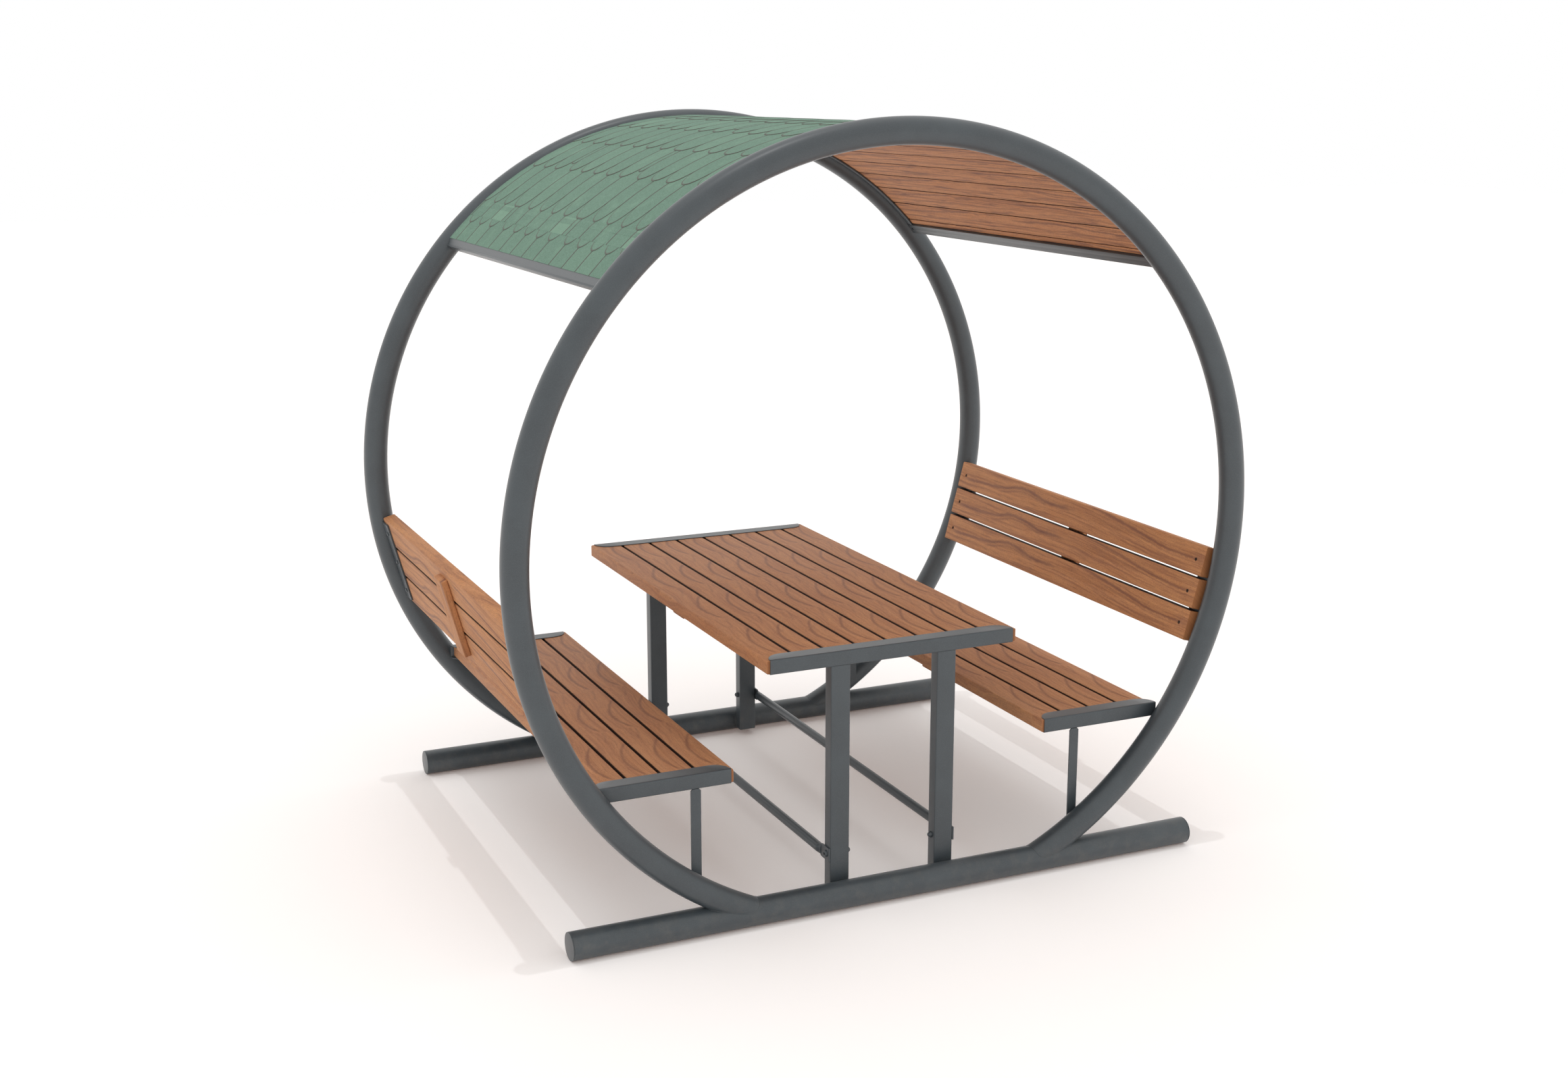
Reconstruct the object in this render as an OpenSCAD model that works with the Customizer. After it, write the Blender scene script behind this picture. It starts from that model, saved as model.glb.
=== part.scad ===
// Picnic table with two benches between two standing tube rings, under a shingled roof arc.
// X runs along the rings, Y from the front ring to the back ring and Z up.
// The origin lies on the ground, at the middle of the footprint.

/* [Rings] */
// Radius of the ring tube's centreline
ring_r = 1112; // [1080:1:1160]
// Height of the arc that is missing from a ring's middle circle, below the ground tube's axis
ring_missing_h = 93; // [80:1:130]
// Distance between the middle planes of the two rings
ring_spacing = 1563; // [1300:1:1900]
// Outer diameter of the ring tube
ring_tube_d = 76; // [60:0.5:77]
// Wall of the ring tube
ring_wall = 3; // [2:0.5:5]

/* [Ground tubes] */
// Outer diameter of the tubes that lie on the ground
ground_tube_d = 80; // [79:0.5:95]
// Length of a ground tube over its end caps
ground_tube_len = 1991; // [1700:1:2300]
// Wall of a ground tube
ground_tube_wall = 3; // [2:0.5:5]
// Thickness of the cap on each tube end
cap_t = 3; // [2:0.5:6]

/* [Slats] */
// Width of every seat, table and backrest slat
slat_w = 92; // [80:1:100]
// Gap between neighbouring slats
slat_gap = 8; // [4:1:14]
// Thickness of the table and seat slats
slat_t = 38; // [30:1:44]
// Thickness of the backrest slats
backrest_slat_t = 40; // [30:1:44]
// Radius on the long edges of the slats
slat_edge_r = 4; // [2:0.5:6]
// Width of the battens that tie the slats together in the middle
batten_w = 90; // [70:1:110]

/* [Table] */
// Height of the table's steel ends above the ground
table_h = 753; // [720:1:780]
// Number of table slats
table_slats = 8; // [6:2:8]
// How far the outer slats stand past the steel end, on each side
table_overhang = 10; // [2:1:18]
// Thickness of the table's middle batten
table_batten_t = 25; // [18:1:32]
// How far the table's batten stops short of the outer slats' edges
table_batten_setback = 30; // [15:1:40]

/* [End channels] */
// Sheet that the slat end channels are folded from
sheet_t = 2.5; // [1.5:0.5:4]
// How far the channel lips run past the table's posts
lip_reach = 10; // [10:0.5:18]
// Radius of the lips' free corners
lip_corner_r = 30; // [10:1:36]
// Room between a slat's end and the web of its channel
slat_end_gap = 0.5; // [0.2:0.1:1]

/* [Posts] */
// Width of a table post, along the channel
post_w = 60; // [50:1:70]
// Depth of a table post, from the ring side inwards
post_d = 40; // [30:1:50]
// Wall of the post's box section
post_wall = 3; // [2:0.5:4]
// Distance between the middles of the two posts at one end
post_spacing = 338; // [280:1:400]
// Height of the post's foot above the ground
post_foot_z = 18; // [6:1:30]

/* [Seats] */
// Height of the seats' steel ends above the ground
seat_h = 457; // [430:1:480]
// Number of slats in one seat
seat_slats = 4; // [3:1:4]
// How far the seat's channel runs past the rear slat, towards the ring
seat_tail = 12; // [6:1:20]
// How far the seat's channel starts behind the front slat's edge
seat_front_inset = 7.5; // [2:0.5:15]
// How far the channel's lower rear corner stays inside the ring's middle circle
seat_weld_inset = 4.8; // [3:0.1:8]
// Thickness of the battens behind a backrest and under a seat
bench_batten_t = 20; // [15:1:25]
// How far a seat's batten stops short of the slats' edges
seat_batten_setback = 25; // [15:1:40]
// Width of the flat bar that carries a seat's front
strut_w = 30; // [20:1:40]
// Thickness of that flat bar
strut_t = 5; // [4:0.5:8]
// Distance from the seat's front edge to the middle of the flat bar
strut_setback = 113; // [80:1:140]
// Chamfer on the flat bar's top corners
strut_chamfer = 5; // [2:0.5:8]
// How far the flat bar runs down past the ring's middle circle
strut_lap = 18; // [12:1:22]

/* [Backrests] */
// Lean of a backrest from the vertical, in degrees
backrest_lean = 15; // [10:0.5:20]
// Number of slats in one backrest
backrest_slats = 3; // [2:1:3]
// Thickness of the plates that carry a backrest
back_plate_t = 6; // [4:0.5:8]
// Width of a backrest plate, from the ring side inwards
back_plate_w = 63.5; // [50:0.5:80]
// How far a backrest plate stops short of the outer slats' edges
back_plate_setback = 13; // [5:1:30]
// Share of the plate's width at which its screws stand, from its inner edge
back_screw_share = 0.33; // [0.25:0.01:0.5]
// How far the plate's rear face lies inside the ring's middle circle
back_plate_inset = 1; // [0:0.5:3]
// How far a backrest's batten stops short of the outer slats' edges
back_batten_setback = 25; // [10:1:40]

/* [Braces] */
// Outer diameter of the round braces between front and back posts
brace_d = 28; // [22:1:34]
// Wall of a brace tube
brace_wall = 2.5; // [1.5:0.5:3]
// Height of the braces' middle above the ground
brace_z = 147; // [120:1:200]
// Thickness of the plate at each end of a brace
brace_plate_t = 5; // [4:0.5:8]
// Height of that plate
brace_plate_h = 40; // [34:1:50]
// How far the plate runs past the post, towards the brace tube
brace_plate_reach = 25; // [22:1:40]
// How far the brace tube stays clear of the post
brace_tube_clear = 12; // [6:1:18]
// Diameter of the bolts that hold the braces
bolt_d = 10; // [8:1:12]
// Diameter of the round bolt head
bolt_head_d = 21; // [18:0.5:24]
// Height of the round bolt head
bolt_head_h = 5.5; // [4:0.5:8]
// Width across the flats of the key recess in the bolt head
bolt_key = 8; // [5:0.5:10]
// Depth of the key recess
bolt_key_depth = 3.5; // [2:0.5:4]
// Width of the cap nut across its corners
nut_d = 19; // [17:0.5:22]
// Height of the cap nut's six-sided part
nut_h = 6; // [5:0.5:9]
// Height of the cap nut with its dome
nut_full_h = 12; // [11:0.5:14]

/* [Roof] */
// Angle from the crown to the lower end of the roof's boards, in degrees
roof_half_angle = 47.65; // [44:0.05:50]
// Width of a roof board
board_w = 84.5; // [70:0.5:100]
// Open joint between roof boards on their underside
board_joint = 1.5; // [0.5:0.1:4]
// Thickness of the roof boards
board_t = 16; // [12:0.5:22]
// Width of the rolled flat bars that carry the boards
arch_bar_w = 28.5; // [20:0.5:40]
// Thickness of those flat bars
arch_bar_t = 6; // [4:0.5:8]
// Width of the box bars along the roof's lower edges
edge_bar_w = 38; // [30:1:45]
// Thickness of those box bars
edge_bar_t = 19; // [14:1:25]
// Wall of those box bars
edge_bar_wall = 2; // [1.5:0.5:3]
// How far an edge bar's outer face stands out past the boards' underside
edge_bar_rise = 11; // [4:0.5:14]
// Gap between an edge bar and the end of the boards
edge_bar_gap = 0.5; // [0.3:0.1:3]
// Diameter of the hole near each end of an edge bar
edge_hole_d = 11; // [6:0.5:14]
// Distance from the bar's end to that hole
edge_hole_inset = 13; // [9:0.5:30]

/* [Shingles] */
// Thickness of a shingle at its lower edge
shingle_t = 3; // [2:0.1:5]
// Thickness of a shingle where it slips under the next course
shingle_thin_t = 1.5; // [1:0.1:2]
// Visible length of a full course
course_len = 172; // [140:1:200]
// Visible length of the two short courses at the lower edge
eave_course_len = 82; // [60:1:120]
// How far the shingles hang over the ends of the boards
shingle_overhang = 13; // [6:0.5:22]
// Width of the capping strip along the crown
ridge_w = 150; // [120:1:170]

/* [Screws] */
// Diameter of the wood screws
screw_d = 5; // [4:0.5:6]
// Diameter of their heads
screw_head_d = 8; // [7:0.5:9]
// Height of their heads
screw_head_h = 2.2; // [1.5:0.1:3]
// How deep a table, seat or batten screw bites into a slat
screw_bite = 22; // [15:1:26]
// Depth of the recess that hides a backrest screw's head
screw_recess = 3.2; // [3:0.1:5]

/* [Hidden] */

// Sides of the object: front and left are negative
front = -1;
back = 1;
left = -1;
right = 1;

// Facets of a ring, and of any small round
fine = 180;
round_fn = 64;
// Steps along a slat's rounded edge, a channel lip's corner, a shingle course and the crown strip
edge_steps = 5;
corner_steps = 8;
course_steps = 4;
ridge_steps = 4;

// Clearances: between seated pieces, round a screw or bolt, and the overrun of a cut
seat_gap = 0.3;
hole_gap = 0.2;
cut = 2;

// Paint and timber
steel = [0.33, 0.35, 0.36];
timber = [0.65, 0.42, 0.28];
zinc = [0.62, 0.63, 0.64];
felt = [0.42, 0.60, 0.50];

// Plane of the rings' inner faces, where channels, flat bars, backrest plates and roof bars are welded
inner_y = ring_spacing / 2 - ring_tube_d / 2;
ring_y = ring_spacing / 2;
ground_tube_z = ground_tube_d / 2;
// Height of the rings' centre above the ground
ring_centre_z = ground_tube_z + ring_r - ring_missing_h;
// Outer faces of the posts, which are welded to the ground tubes' inner sides
post_face_y = ring_y - ground_tube_d / 2;
post_in_y = post_face_y - post_d;
// Angle below the horizontal at which a ring's middle circle meets its ground tube's axis
ring_end_angle = asin(1 - ring_missing_h / ring_r);

// Slats and their channels
slat_pitch = slat_w + slat_gap;
lip_w = inner_y - post_in_y + lip_reach;
channel_h = slat_t + 2 * sheet_t;
slat_len = 2 * (inner_y - sheet_t - slat_end_gap);
lip_screw_y = post_in_y - lip_reach / 2;
table_w = table_slats * slat_pitch - slat_gap;
table_channel_x = table_w / 2 - table_overhang;
table_under_z = table_h - channel_h;
seat_w = seat_slats * slat_pitch - slat_gap;
seat_under_z = seat_h - channel_h;
seat_channel_end_x = sqrt(ring_r ^ 2 - (ring_centre_z - seat_under_z) ^ 2) - seat_weld_inset;
seat_rear_x = seat_channel_end_x - seat_tail;
seat_front_x = seat_rear_x - seat_w;
seat_channel_start_x = seat_front_x + seat_front_inset;
strut_x = seat_front_x + strut_setback;
strut_foot_z = ring_centre_z - sqrt(ring_r ^ 2 - strut_x ^ 2) - strut_lap;

// Backrests, measured outwards from the rings' axis
back_plate_d = ring_r - back_plate_inset - back_plate_t;
backrest_face_d = back_plate_d - backrest_slat_t;
backrest_h = backrest_slats * slat_pitch - slat_gap;
back_screw_y = inner_y - back_plate_w * (1 - back_screw_share);

// Braces
post_out_x = post_spacing / 2 + post_w / 2;
post_in_x = post_spacing / 2 - post_w / 2;
brace_x = post_out_x + brace_plate_t / 2;
brace_tube_y = post_in_y - brace_tube_clear;
brace_plate_y = post_in_y - brace_plate_reach;
bolt_y = post_face_y - post_d / 2;

// Roof, measured from the rings' axis and from the crown
board_pitch_angle = 2 * atan((board_w + board_joint) / 2 / ring_r);
board_count = floor(2 * roof_half_angle / board_pitch_angle);
filler_angle = roof_half_angle - board_count * board_pitch_angle / 2;
filler_w = 2 * ring_r * tan(filler_angle / 2) - board_joint;
board_len = 2 * (inner_y - seat_gap);
edge_bar_out_r = ring_r + edge_bar_rise;
edge_bar_angle = roof_half_angle + asin((edge_bar_w / 2 + edge_bar_gap) / ring_r);
shingle_in_r = norm([ring_r + board_t, board_w / 2]) + seat_gap;
shingle_end_angle = roof_half_angle + shingle_overhang / shingle_in_r * 180 / PI;
// The shingles run out to the ring tubes, which bulge towards them below this radius
shingle_len = 2 * (ring_y - sqrt((ring_tube_d / 2) ^ 2 - (shingle_in_r - ring_r) ^ 2) - seat_gap);
course_angle = course_len / shingle_in_r * 180 / PI;
eave_course_angle = eave_course_len / shingle_in_r * 180 / PI;
ridge_half_angle = ridge_w / 2 / shingle_in_r * 180 / PI;
course_span = shingle_end_angle - ridge_half_angle - 2 * eave_course_angle;
full_courses = ceil(course_span / course_angle);
// Angles from the crown at which the courses of one slope end, from the lower edge up
course_ends = concat(
  [shingle_end_angle, shingle_end_angle - eave_course_angle],
  [for (i = [0:full_courses - 1]) shingle_end_angle - 2 * eave_course_angle - i * course_angle],
  [ridge_half_angle]
);
course_gap_angle = seat_gap / shingle_in_r * 180 / PI;

// Outline of a w by t rectangle about the origin, with corners of radius r
function rounded_outline(w, t, r) = [
  for (corner = [[1, 1, 0], [-1, 1, 90], [-1, -1, 180], [1, -1, 270]])
    for (i = [0:edge_steps])
      let (a = corner[2] + 90 * i / edge_steps)
        [corner[0] * (w / 2 - r) + r * cos(a), corner[1] * (t / 2 - r) + r * sin(a)]
];

// Point at radius r and angle a from the crown, positive towards +X
function polar_point(r, a) = [r * sin(a), r * cos(a)];

// Section of one course from its lower end at angle a0 to its upper end at angle a1
function course_outline(a0, a1) =
  let (
    step = (a1 - a0) / course_steps,
    in_r = shingle_in_r / cos(step / 2)
  )
  concat(
    [for (i = [0:course_steps]) polar_point(in_r, a0 + i * step)],
    [for (i = [course_steps:-1:0])
      polar_point(in_r + shingle_t + (shingle_thin_t - shingle_t) * i / course_steps, a0 + i * step)]
  );

// Angle from the crown of step number i across the crown strip
function ridge_angle(i) = ridge_half_angle * (2 * i / ridge_steps - 1);

// Middle of slat number i in a row of n, counted from one side
function slat_place(i, n) = (i - (n + 1) / 2) * slat_pitch;

// Places its children about the rings' axis, with local z along -Y
module about_ring_axis(y) {
  translate([0, y, ring_centre_z])
    rotate([90, 0, 0])
      children();
}

// Turns its children from the crown by an angle, with local z pointing out from the rings' axis
module at_roof_angle(a) {
  translate([0, 0, ring_centre_z])
    rotate([0, a, 0])
      children();
}

// Local x points out through the backrest, local z up along it
module at_backrest(side) {
  mirror([side == left ? 1 : 0, 0, 0])
    translate([0, 0, ring_centre_z])
      rotate([0, backrest_lean, 0])
        children();
}

// Mirrors its children, made for the right, to the side that is asked for
module on_side(side) {
  mirror([side == left ? 1 : 0, 0, 0])
    children();
}

// Mirrors its children, made for the back, to the end that is asked for
module at_end(end) {
  mirror([0, end == front ? 1 : 0, 0])
    children();
}

module tube_section(d, wall) {
  difference() {
    circle(d = d, $fn = round_fn);
    circle(d = d - 2 * wall, $fn = round_fn);
  }
}

// Ring tube, rolled to an arc and coped to sit on its ground tube
module ring(end) {
  color(steel)
    difference() {
      about_ring_axis(end * ring_y)
        rotate([0, 0, -ring_end_angle])
          rotate_extrude(angle = 180 + 2 * ring_end_angle, $fn = fine)
            translate([ring_r, 0])
              tube_section(ring_tube_d, ring_wall);
      translate([0, end * ring_y, ground_tube_z])
        rotate([0, 90, 0])
          cylinder(d = ground_tube_d + 2 * seat_gap, h = ground_tube_len, center = true, $fn = round_fn);
    }
}

module ground_tube(end) {
  color(steel)
    translate([0, end * ring_y, ground_tube_z])
      rotate([0, 90, 0])
        linear_extrude(height = ground_tube_len - 2 * cap_t, center = true)
          tube_section(ground_tube_d, ground_tube_wall);
}

module ground_tube_caps() {
  color(steel)
    for (end = [front, back], side = [left, right])
      translate([side * (ground_tube_len - cap_t) / 2, end * ring_y, ground_tube_z])
        rotate([0, 90, 0])
          cylinder(d = ground_tube_d, h = cap_t, center = true, $fn = round_fn);
}

// Box section with a closed foot and holes for the brace bolt
module post(end, side) {
  color(steel)
    at_end(end)
      on_side(side)
        difference() {
          translate([post_in_x, post_in_y, post_foot_z])
            cube([post_w, post_d, table_under_z - post_foot_z]);
          translate([post_in_x + post_wall, post_in_y + post_wall, post_foot_z + post_wall])
            cube([post_w - 2 * post_wall, post_d - 2 * post_wall, table_under_z]);
          translate([post_in_x - cut, bolt_y, brace_z])
            rotate([0, 90, 0])
              cylinder(d = bolt_d + 2 * hole_gap, h = post_w + 2 * cut, $fn = round_fn);
        }
}

// Lip of a channel from x0 to x1, with its two free corners rounded
module channel_lip(x0, x1) {
  linear_extrude(height = sheet_t)
    polygon(concat(
      [[x1, inner_y], [x0, inner_y]],
      [for (i = [0:corner_steps]) let (a = 180 + 90 * i / corner_steps)
        [x0 + lip_corner_r + lip_corner_r * cos(a), inner_y - lip_w + lip_corner_r + lip_corner_r * sin(a)]],
      [for (i = [0:corner_steps]) let (a = 270 + 90 * i / corner_steps)
        [x1 - lip_corner_r + lip_corner_r * cos(a), inner_y - lip_w + lip_corner_r + lip_corner_r * sin(a)]]
    ));
}

// Folded channel over the slats' ends, with a screw hole under each slat
module end_channel(x0, x1, under_z, screw_xs) {
  color(steel)
    difference() {
      union() {
        translate([x0, inner_y - sheet_t, under_z])
          cube([x1 - x0, sheet_t, channel_h]);
        translate([0, 0, under_z])
          channel_lip(x0, x1);
        translate([0, 0, under_z + channel_h - sheet_t])
          channel_lip(x0, x1);
      }
      for (x = screw_xs)
        translate([x, lip_screw_y, under_z - cut])
          cylinder(d = screw_d + 2 * hole_gap, h = sheet_t + 2 * cut, $fn = round_fn);
    }
}

// Slat along Y with blind holes in its underside
module slat(x, under_z, screw_ys) {
  color(timber)
    difference() {
      translate([x, 0, under_z + slat_t / 2])
        rotate([90, 0, 0])
          linear_extrude(height = slat_len, center = true)
            polygon(rounded_outline(slat_w, slat_t, slat_edge_r));
      for (y = screw_ys)
        translate([x, y, under_z - cut])
          cylinder(d = screw_d + 2 * hole_gap, h = cut + screw_bite + hole_gap, $fn = round_fn);
    }
}

// Batten across the slats' undersides, with a hole under each slat
module batten(x0, x1, top_z, t, screw_xs) {
  color(timber)
    difference() {
      translate([(x0 + x1) / 2, 0, top_z - t / 2])
        rotate([90, 0, 90])
          linear_extrude(height = x1 - x0, center = true)
            polygon(rounded_outline(batten_w, t, slat_edge_r));
      for (x = screw_xs)
        translate([x, 0, top_z - t - cut])
          cylinder(d = screw_d + 2 * hole_gap, h = t + 2 * cut, $fn = round_fn);
    }
}

function table_slat_xs() = [for (i = [1:table_slats]) slat_place(i, table_slats)];
function seat_slat_xs() = [for (i = [1:seat_slats]) seat_front_x + seat_w / 2 + slat_place(i, seat_slats)];

module table_channel(end) {
  at_end(end)
    end_channel(-table_channel_x, table_channel_x, table_under_z, table_slat_xs());
}

module table_slat(i) {
  if (i <= table_slats)
    slat(table_slat_xs()[i - 1], table_under_z + sheet_t, [-lip_screw_y, 0, lip_screw_y]);
}

module table_batten() {
  batten_x = table_w / 2 - table_batten_setback;
  batten(-batten_x, batten_x, table_under_z + sheet_t, table_batten_t, table_slat_xs());
}

module seat_channel(end, side) {
  at_end(end)
    on_side(side)
      end_channel(seat_channel_start_x, seat_channel_end_x, seat_under_z, seat_slat_xs());
}

module seat_slat(side, i) {
  if (i <= seat_slats)
    on_side(side)
      slat(seat_slat_xs()[i - 1], seat_under_z + sheet_t, [-lip_screw_y, 0, lip_screw_y]);
}

module seat_batten(side) {
  on_side(side)
    batten(
      seat_front_x + seat_batten_setback, seat_rear_x - seat_batten_setback,
      seat_under_z + sheet_t, bench_batten_t, seat_slat_xs()
    );
}

// Flat bars from the ring up to the front of one seat
module seat_struts(side) {
  color(steel)
    for (end = [front, back])
      at_end(end)
        on_side(side)
          translate([strut_x, inner_y, 0])
            rotate([90, 0, 0])
              linear_extrude(height = strut_t)
                polygon([
                  [-strut_w / 2, strut_foot_z],
                  [strut_w / 2, strut_foot_z],
                  [strut_w / 2, seat_under_z - strut_chamfer],
                  [strut_w / 2 - strut_chamfer, seat_under_z],
                  [-strut_w / 2 + strut_chamfer, seat_under_z],
                  [-strut_w / 2, seat_under_z - strut_chamfer]
                ]);
}

// Round tube between two posts, closed by a bolted plate at each end
module brace(side) {
  color(steel)
    on_side(side)
      difference() {
        union() {
          translate([brace_x, 0, brace_z])
            rotate([90, 0, 0])
              linear_extrude(height = 2 * brace_tube_y, center = true)
                tube_section(brace_d, brace_wall);
          for (end = [front, back])
            at_end(end)
              brace_plate();
        }
        for (end = [front, back])
          translate([brace_x - brace_plate_t, end * bolt_y, brace_z])
            rotate([0, 90, 0])
              cylinder(d = bolt_d + 2 * hole_gap, h = 2 * brace_plate_t, $fn = round_fn);
      }
}

// Plate at the back end of the right brace, with a round end inside the tube's mouth
module brace_plate() {
  translate([post_out_x, brace_plate_y + brace_plate_h / 2, brace_z]) {
    translate([0, 0, -brace_plate_h / 2])
      cube([brace_plate_t, post_face_y - brace_plate_y - brace_plate_h / 2, brace_plate_h]);
    rotate([0, 90, 0])
      cylinder(d = brace_plate_h, h = brace_plate_t, $fn = round_fn);
  }
}

// Round headed bolts through the brace plates and the posts
module brace_bolts() {
  color(steel)
    for (end = [front, back], side = [left, right])
      at_end(end)
        on_side(side)
          translate([post_out_x + brace_plate_t, bolt_y, brace_z])
            rotate([0, 90, 0])
              difference() {
                union() {
                  cylinder(d = bolt_head_d, h = bolt_head_h, $fn = round_fn);
                  translate([0, 0, -brace_plate_t - post_w - nut_h])
                    cylinder(d = bolt_d, h = brace_plate_t + post_w + nut_h + bolt_head_h / 2, $fn = round_fn);
                }
                translate([0, 0, bolt_head_h - bolt_key_depth])
                  cylinder(d = bolt_key / cos(30), h = bolt_key_depth + cut, $fn = 6);
              }
}

// Cap nuts on the posts' inner faces
module brace_nuts() {
  dome_r = nut_d / 2 * cos(30);
  color(steel)
    for (end = [front, back], side = [left, right])
      at_end(end)
        on_side(side)
          translate([post_in_x, bolt_y, brace_z])
            rotate([0, -90, 0])
              difference() {
                union() {
                  cylinder(d = nut_d, h = nut_h, $fn = 6);
                  intersection() {
                    translate([0, 0, nut_full_h - dome_r])
                      sphere(r = dome_r, $fn = round_fn);
                    cylinder(r = dome_r, h = nut_full_h, $fn = round_fn);
                  }
                }
                translate([0, 0, -cut])
                  cylinder(d = bolt_d + 2 * hole_gap, h = cut + nut_h + hole_gap, $fn = round_fn);
              }
}

// Heights of the backrest slats' middles along the backrest
function backrest_zs() = [for (i = [1:backrest_slats]) slat_place(i, backrest_slats)];

// Slat number i of a backrest, from the lowest, with recessed holes at both ends
module backrest_slat(side, i) {
  if (i <= backrest_slats)
    color(timber)
      at_backrest(side)
        translate([backrest_face_d, 0, backrest_zs()[i - 1]])
          difference() {
            translate([backrest_slat_t / 2, 0, 0])
              rotate([90, 0, 0])
                linear_extrude(height = slat_len, center = true)
                  polygon(rounded_outline(backrest_slat_t, slat_w, slat_edge_r));
            for (end = [front, back])
              translate([-cut, end * back_screw_y, 0])
                rotate([0, 90, 0]) {
                  cylinder(d = screw_d + 2 * hole_gap, h = backrest_slat_t + 2 * cut, $fn = round_fn);
                  cylinder(d = screw_head_d + 2 * hole_gap, h = cut + screw_recess, $fn = round_fn);
                }
            translate([backrest_slat_t - screw_bite - hole_gap, 0, 0])
              rotate([0, 90, 0])
                cylinder(d = screw_d + 2 * hole_gap, h = screw_bite + hole_gap + cut, $fn = round_fn);
          }
}

// Flat plates behind the slats' ends, welded to the rings
module backrest_plates(side) {
  plate_h = backrest_h - 2 * back_plate_setback;
  color(steel)
    for (end = [front, back])
      at_end(end)
        at_backrest(side)
          difference() {
            translate([back_plate_d, inner_y - back_plate_w, -plate_h / 2])
              cube([back_plate_t, back_plate_w, plate_h]);
            for (z = backrest_zs())
              translate([back_plate_d - cut, back_screw_y, z])
                rotate([0, 90, 0])
                  cylinder(d = screw_d + 2 * hole_gap, h = back_plate_t + 2 * cut, $fn = round_fn);
          }
}

module backrest_batten(side) {
  color(timber)
    at_backrest(side)
      difference() {
        translate([back_plate_d + bench_batten_t / 2, 0, 0])
          linear_extrude(height = backrest_h - 2 * back_batten_setback, center = true)
            polygon(rounded_outline(bench_batten_t, batten_w, slat_edge_r));
        for (z = backrest_zs())
          translate([back_plate_d - cut, 0, z])
            rotate([0, 90, 0])
              cylinder(d = screw_d + 2 * hole_gap, h = bench_batten_t + 2 * cut, $fn = round_fn);
      }
}

// Rolled flat bar under the ends of the roof boards
module roof_arch_bar(end) {
  color(steel)
    about_ring_axis(end * (inner_y - arch_bar_w / 2))
      rotate([0, 0, 90 - roof_half_angle])
        rotate_extrude(angle = 2 * roof_half_angle, $fn = fine)
          translate([ring_r - arch_bar_t, -arch_bar_w / 2])
            square([arch_bar_t, arch_bar_w]);
}

// Box bar along the lower edge of the roof, from ring to ring
module roof_edge_bar(side) {
  color(steel)
    at_roof_angle(side * edge_bar_angle)
      translate([0, 0, edge_bar_out_r - edge_bar_t])
        difference() {
          translate([-edge_bar_w / 2, -inner_y, 0])
            cube([edge_bar_w, 2 * inner_y, edge_bar_t]);
          translate([-edge_bar_w / 2 + edge_bar_wall, -inner_y - cut, edge_bar_wall])
            cube([edge_bar_w - 2 * edge_bar_wall, 2 * (inner_y + cut), edge_bar_t - 2 * edge_bar_wall]);
          for (end = [front, back])
            translate([0, end * (inner_y - edge_hole_inset), -cut])
              cylinder(d = edge_hole_d, h = edge_bar_wall + 2 * cut, $fn = round_fn);
        }
}

// Boards side by side from the crown outwards, with a narrow filler at each lower end
module roof_boards() {
  color(timber) {
    for (i = [0:board_count - 1])
      at_roof_angle((i - (board_count - 1) / 2) * board_pitch_angle)
        translate([-board_w / 2, -board_len / 2, ring_r])
          cube([board_w, board_len, board_t]);
    if (filler_w > board_joint)
      for (side = [left, right])
        at_roof_angle(side * (roof_half_angle - filler_angle / 2))
          translate([-filler_w / 2, -board_len / 2, ring_r])
            cube([filler_w, board_len, board_t]);
  }
}

// Courses of both slopes, each a wedge that is thickest at its lower edge, and the crown strip
module roof_shingles() {
  color(felt)
    translate([0, 0, ring_centre_z])
      rotate([90, 0, 0]) {
        for (side = [left, right])
          mirror([side == left ? 1 : 0, 0, 0])
            for (i = [0:len(course_ends) - 2])
              linear_extrude(height = shingle_len, center = true)
                polygon(course_outline(course_ends[i], course_ends[i + 1] + course_gap_angle));
        linear_extrude(height = shingle_len, center = true)
          polygon(concat(
            [for (i = [0:ridge_steps]) polar_point(shingle_in_r, ridge_angle(i))],
            [for (i = [ridge_steps:-1:0]) polar_point(shingle_in_r + shingle_t, ridge_angle(i))]
          ));
      }
}

// Screw with its head down at z = 0 and its point up, grip being what lies under the slat
module screw(grip) {
  translate([0, 0, -screw_head_h])
    cylinder(d = screw_head_d, h = screw_head_h, $fn = round_fn);
  translate([0, 0, -screw_head_h / 2])
    cylinder(d = screw_d, h = grip + screw_bite + screw_head_h / 2, $fn = round_fn);
}

module channel_screws() {
  color(zinc)
    for (end = [front, back]) {
      for (x = table_slat_xs())
        translate([x, end * lip_screw_y, table_under_z])
          screw(sheet_t);
      for (side = [left, right], x = seat_slat_xs())
        translate([side * x, end * lip_screw_y, seat_under_z])
          screw(sheet_t);
    }
}

module batten_screws() {
  color(zinc) {
    for (x = table_slat_xs())
      translate([x, 0, table_under_z + sheet_t - table_batten_t])
        screw(table_batten_t);
    for (side = [left, right]) {
      for (x = seat_slat_xs())
        translate([side * x, 0, seat_under_z + sheet_t - bench_batten_t])
          screw(bench_batten_t);
      at_backrest(side)
        for (z = backrest_zs())
          translate([back_plate_d + bench_batten_t, 0, z])
            rotate([0, -90, 0])
              screw(bench_batten_t);
    }
  }
}

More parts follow.
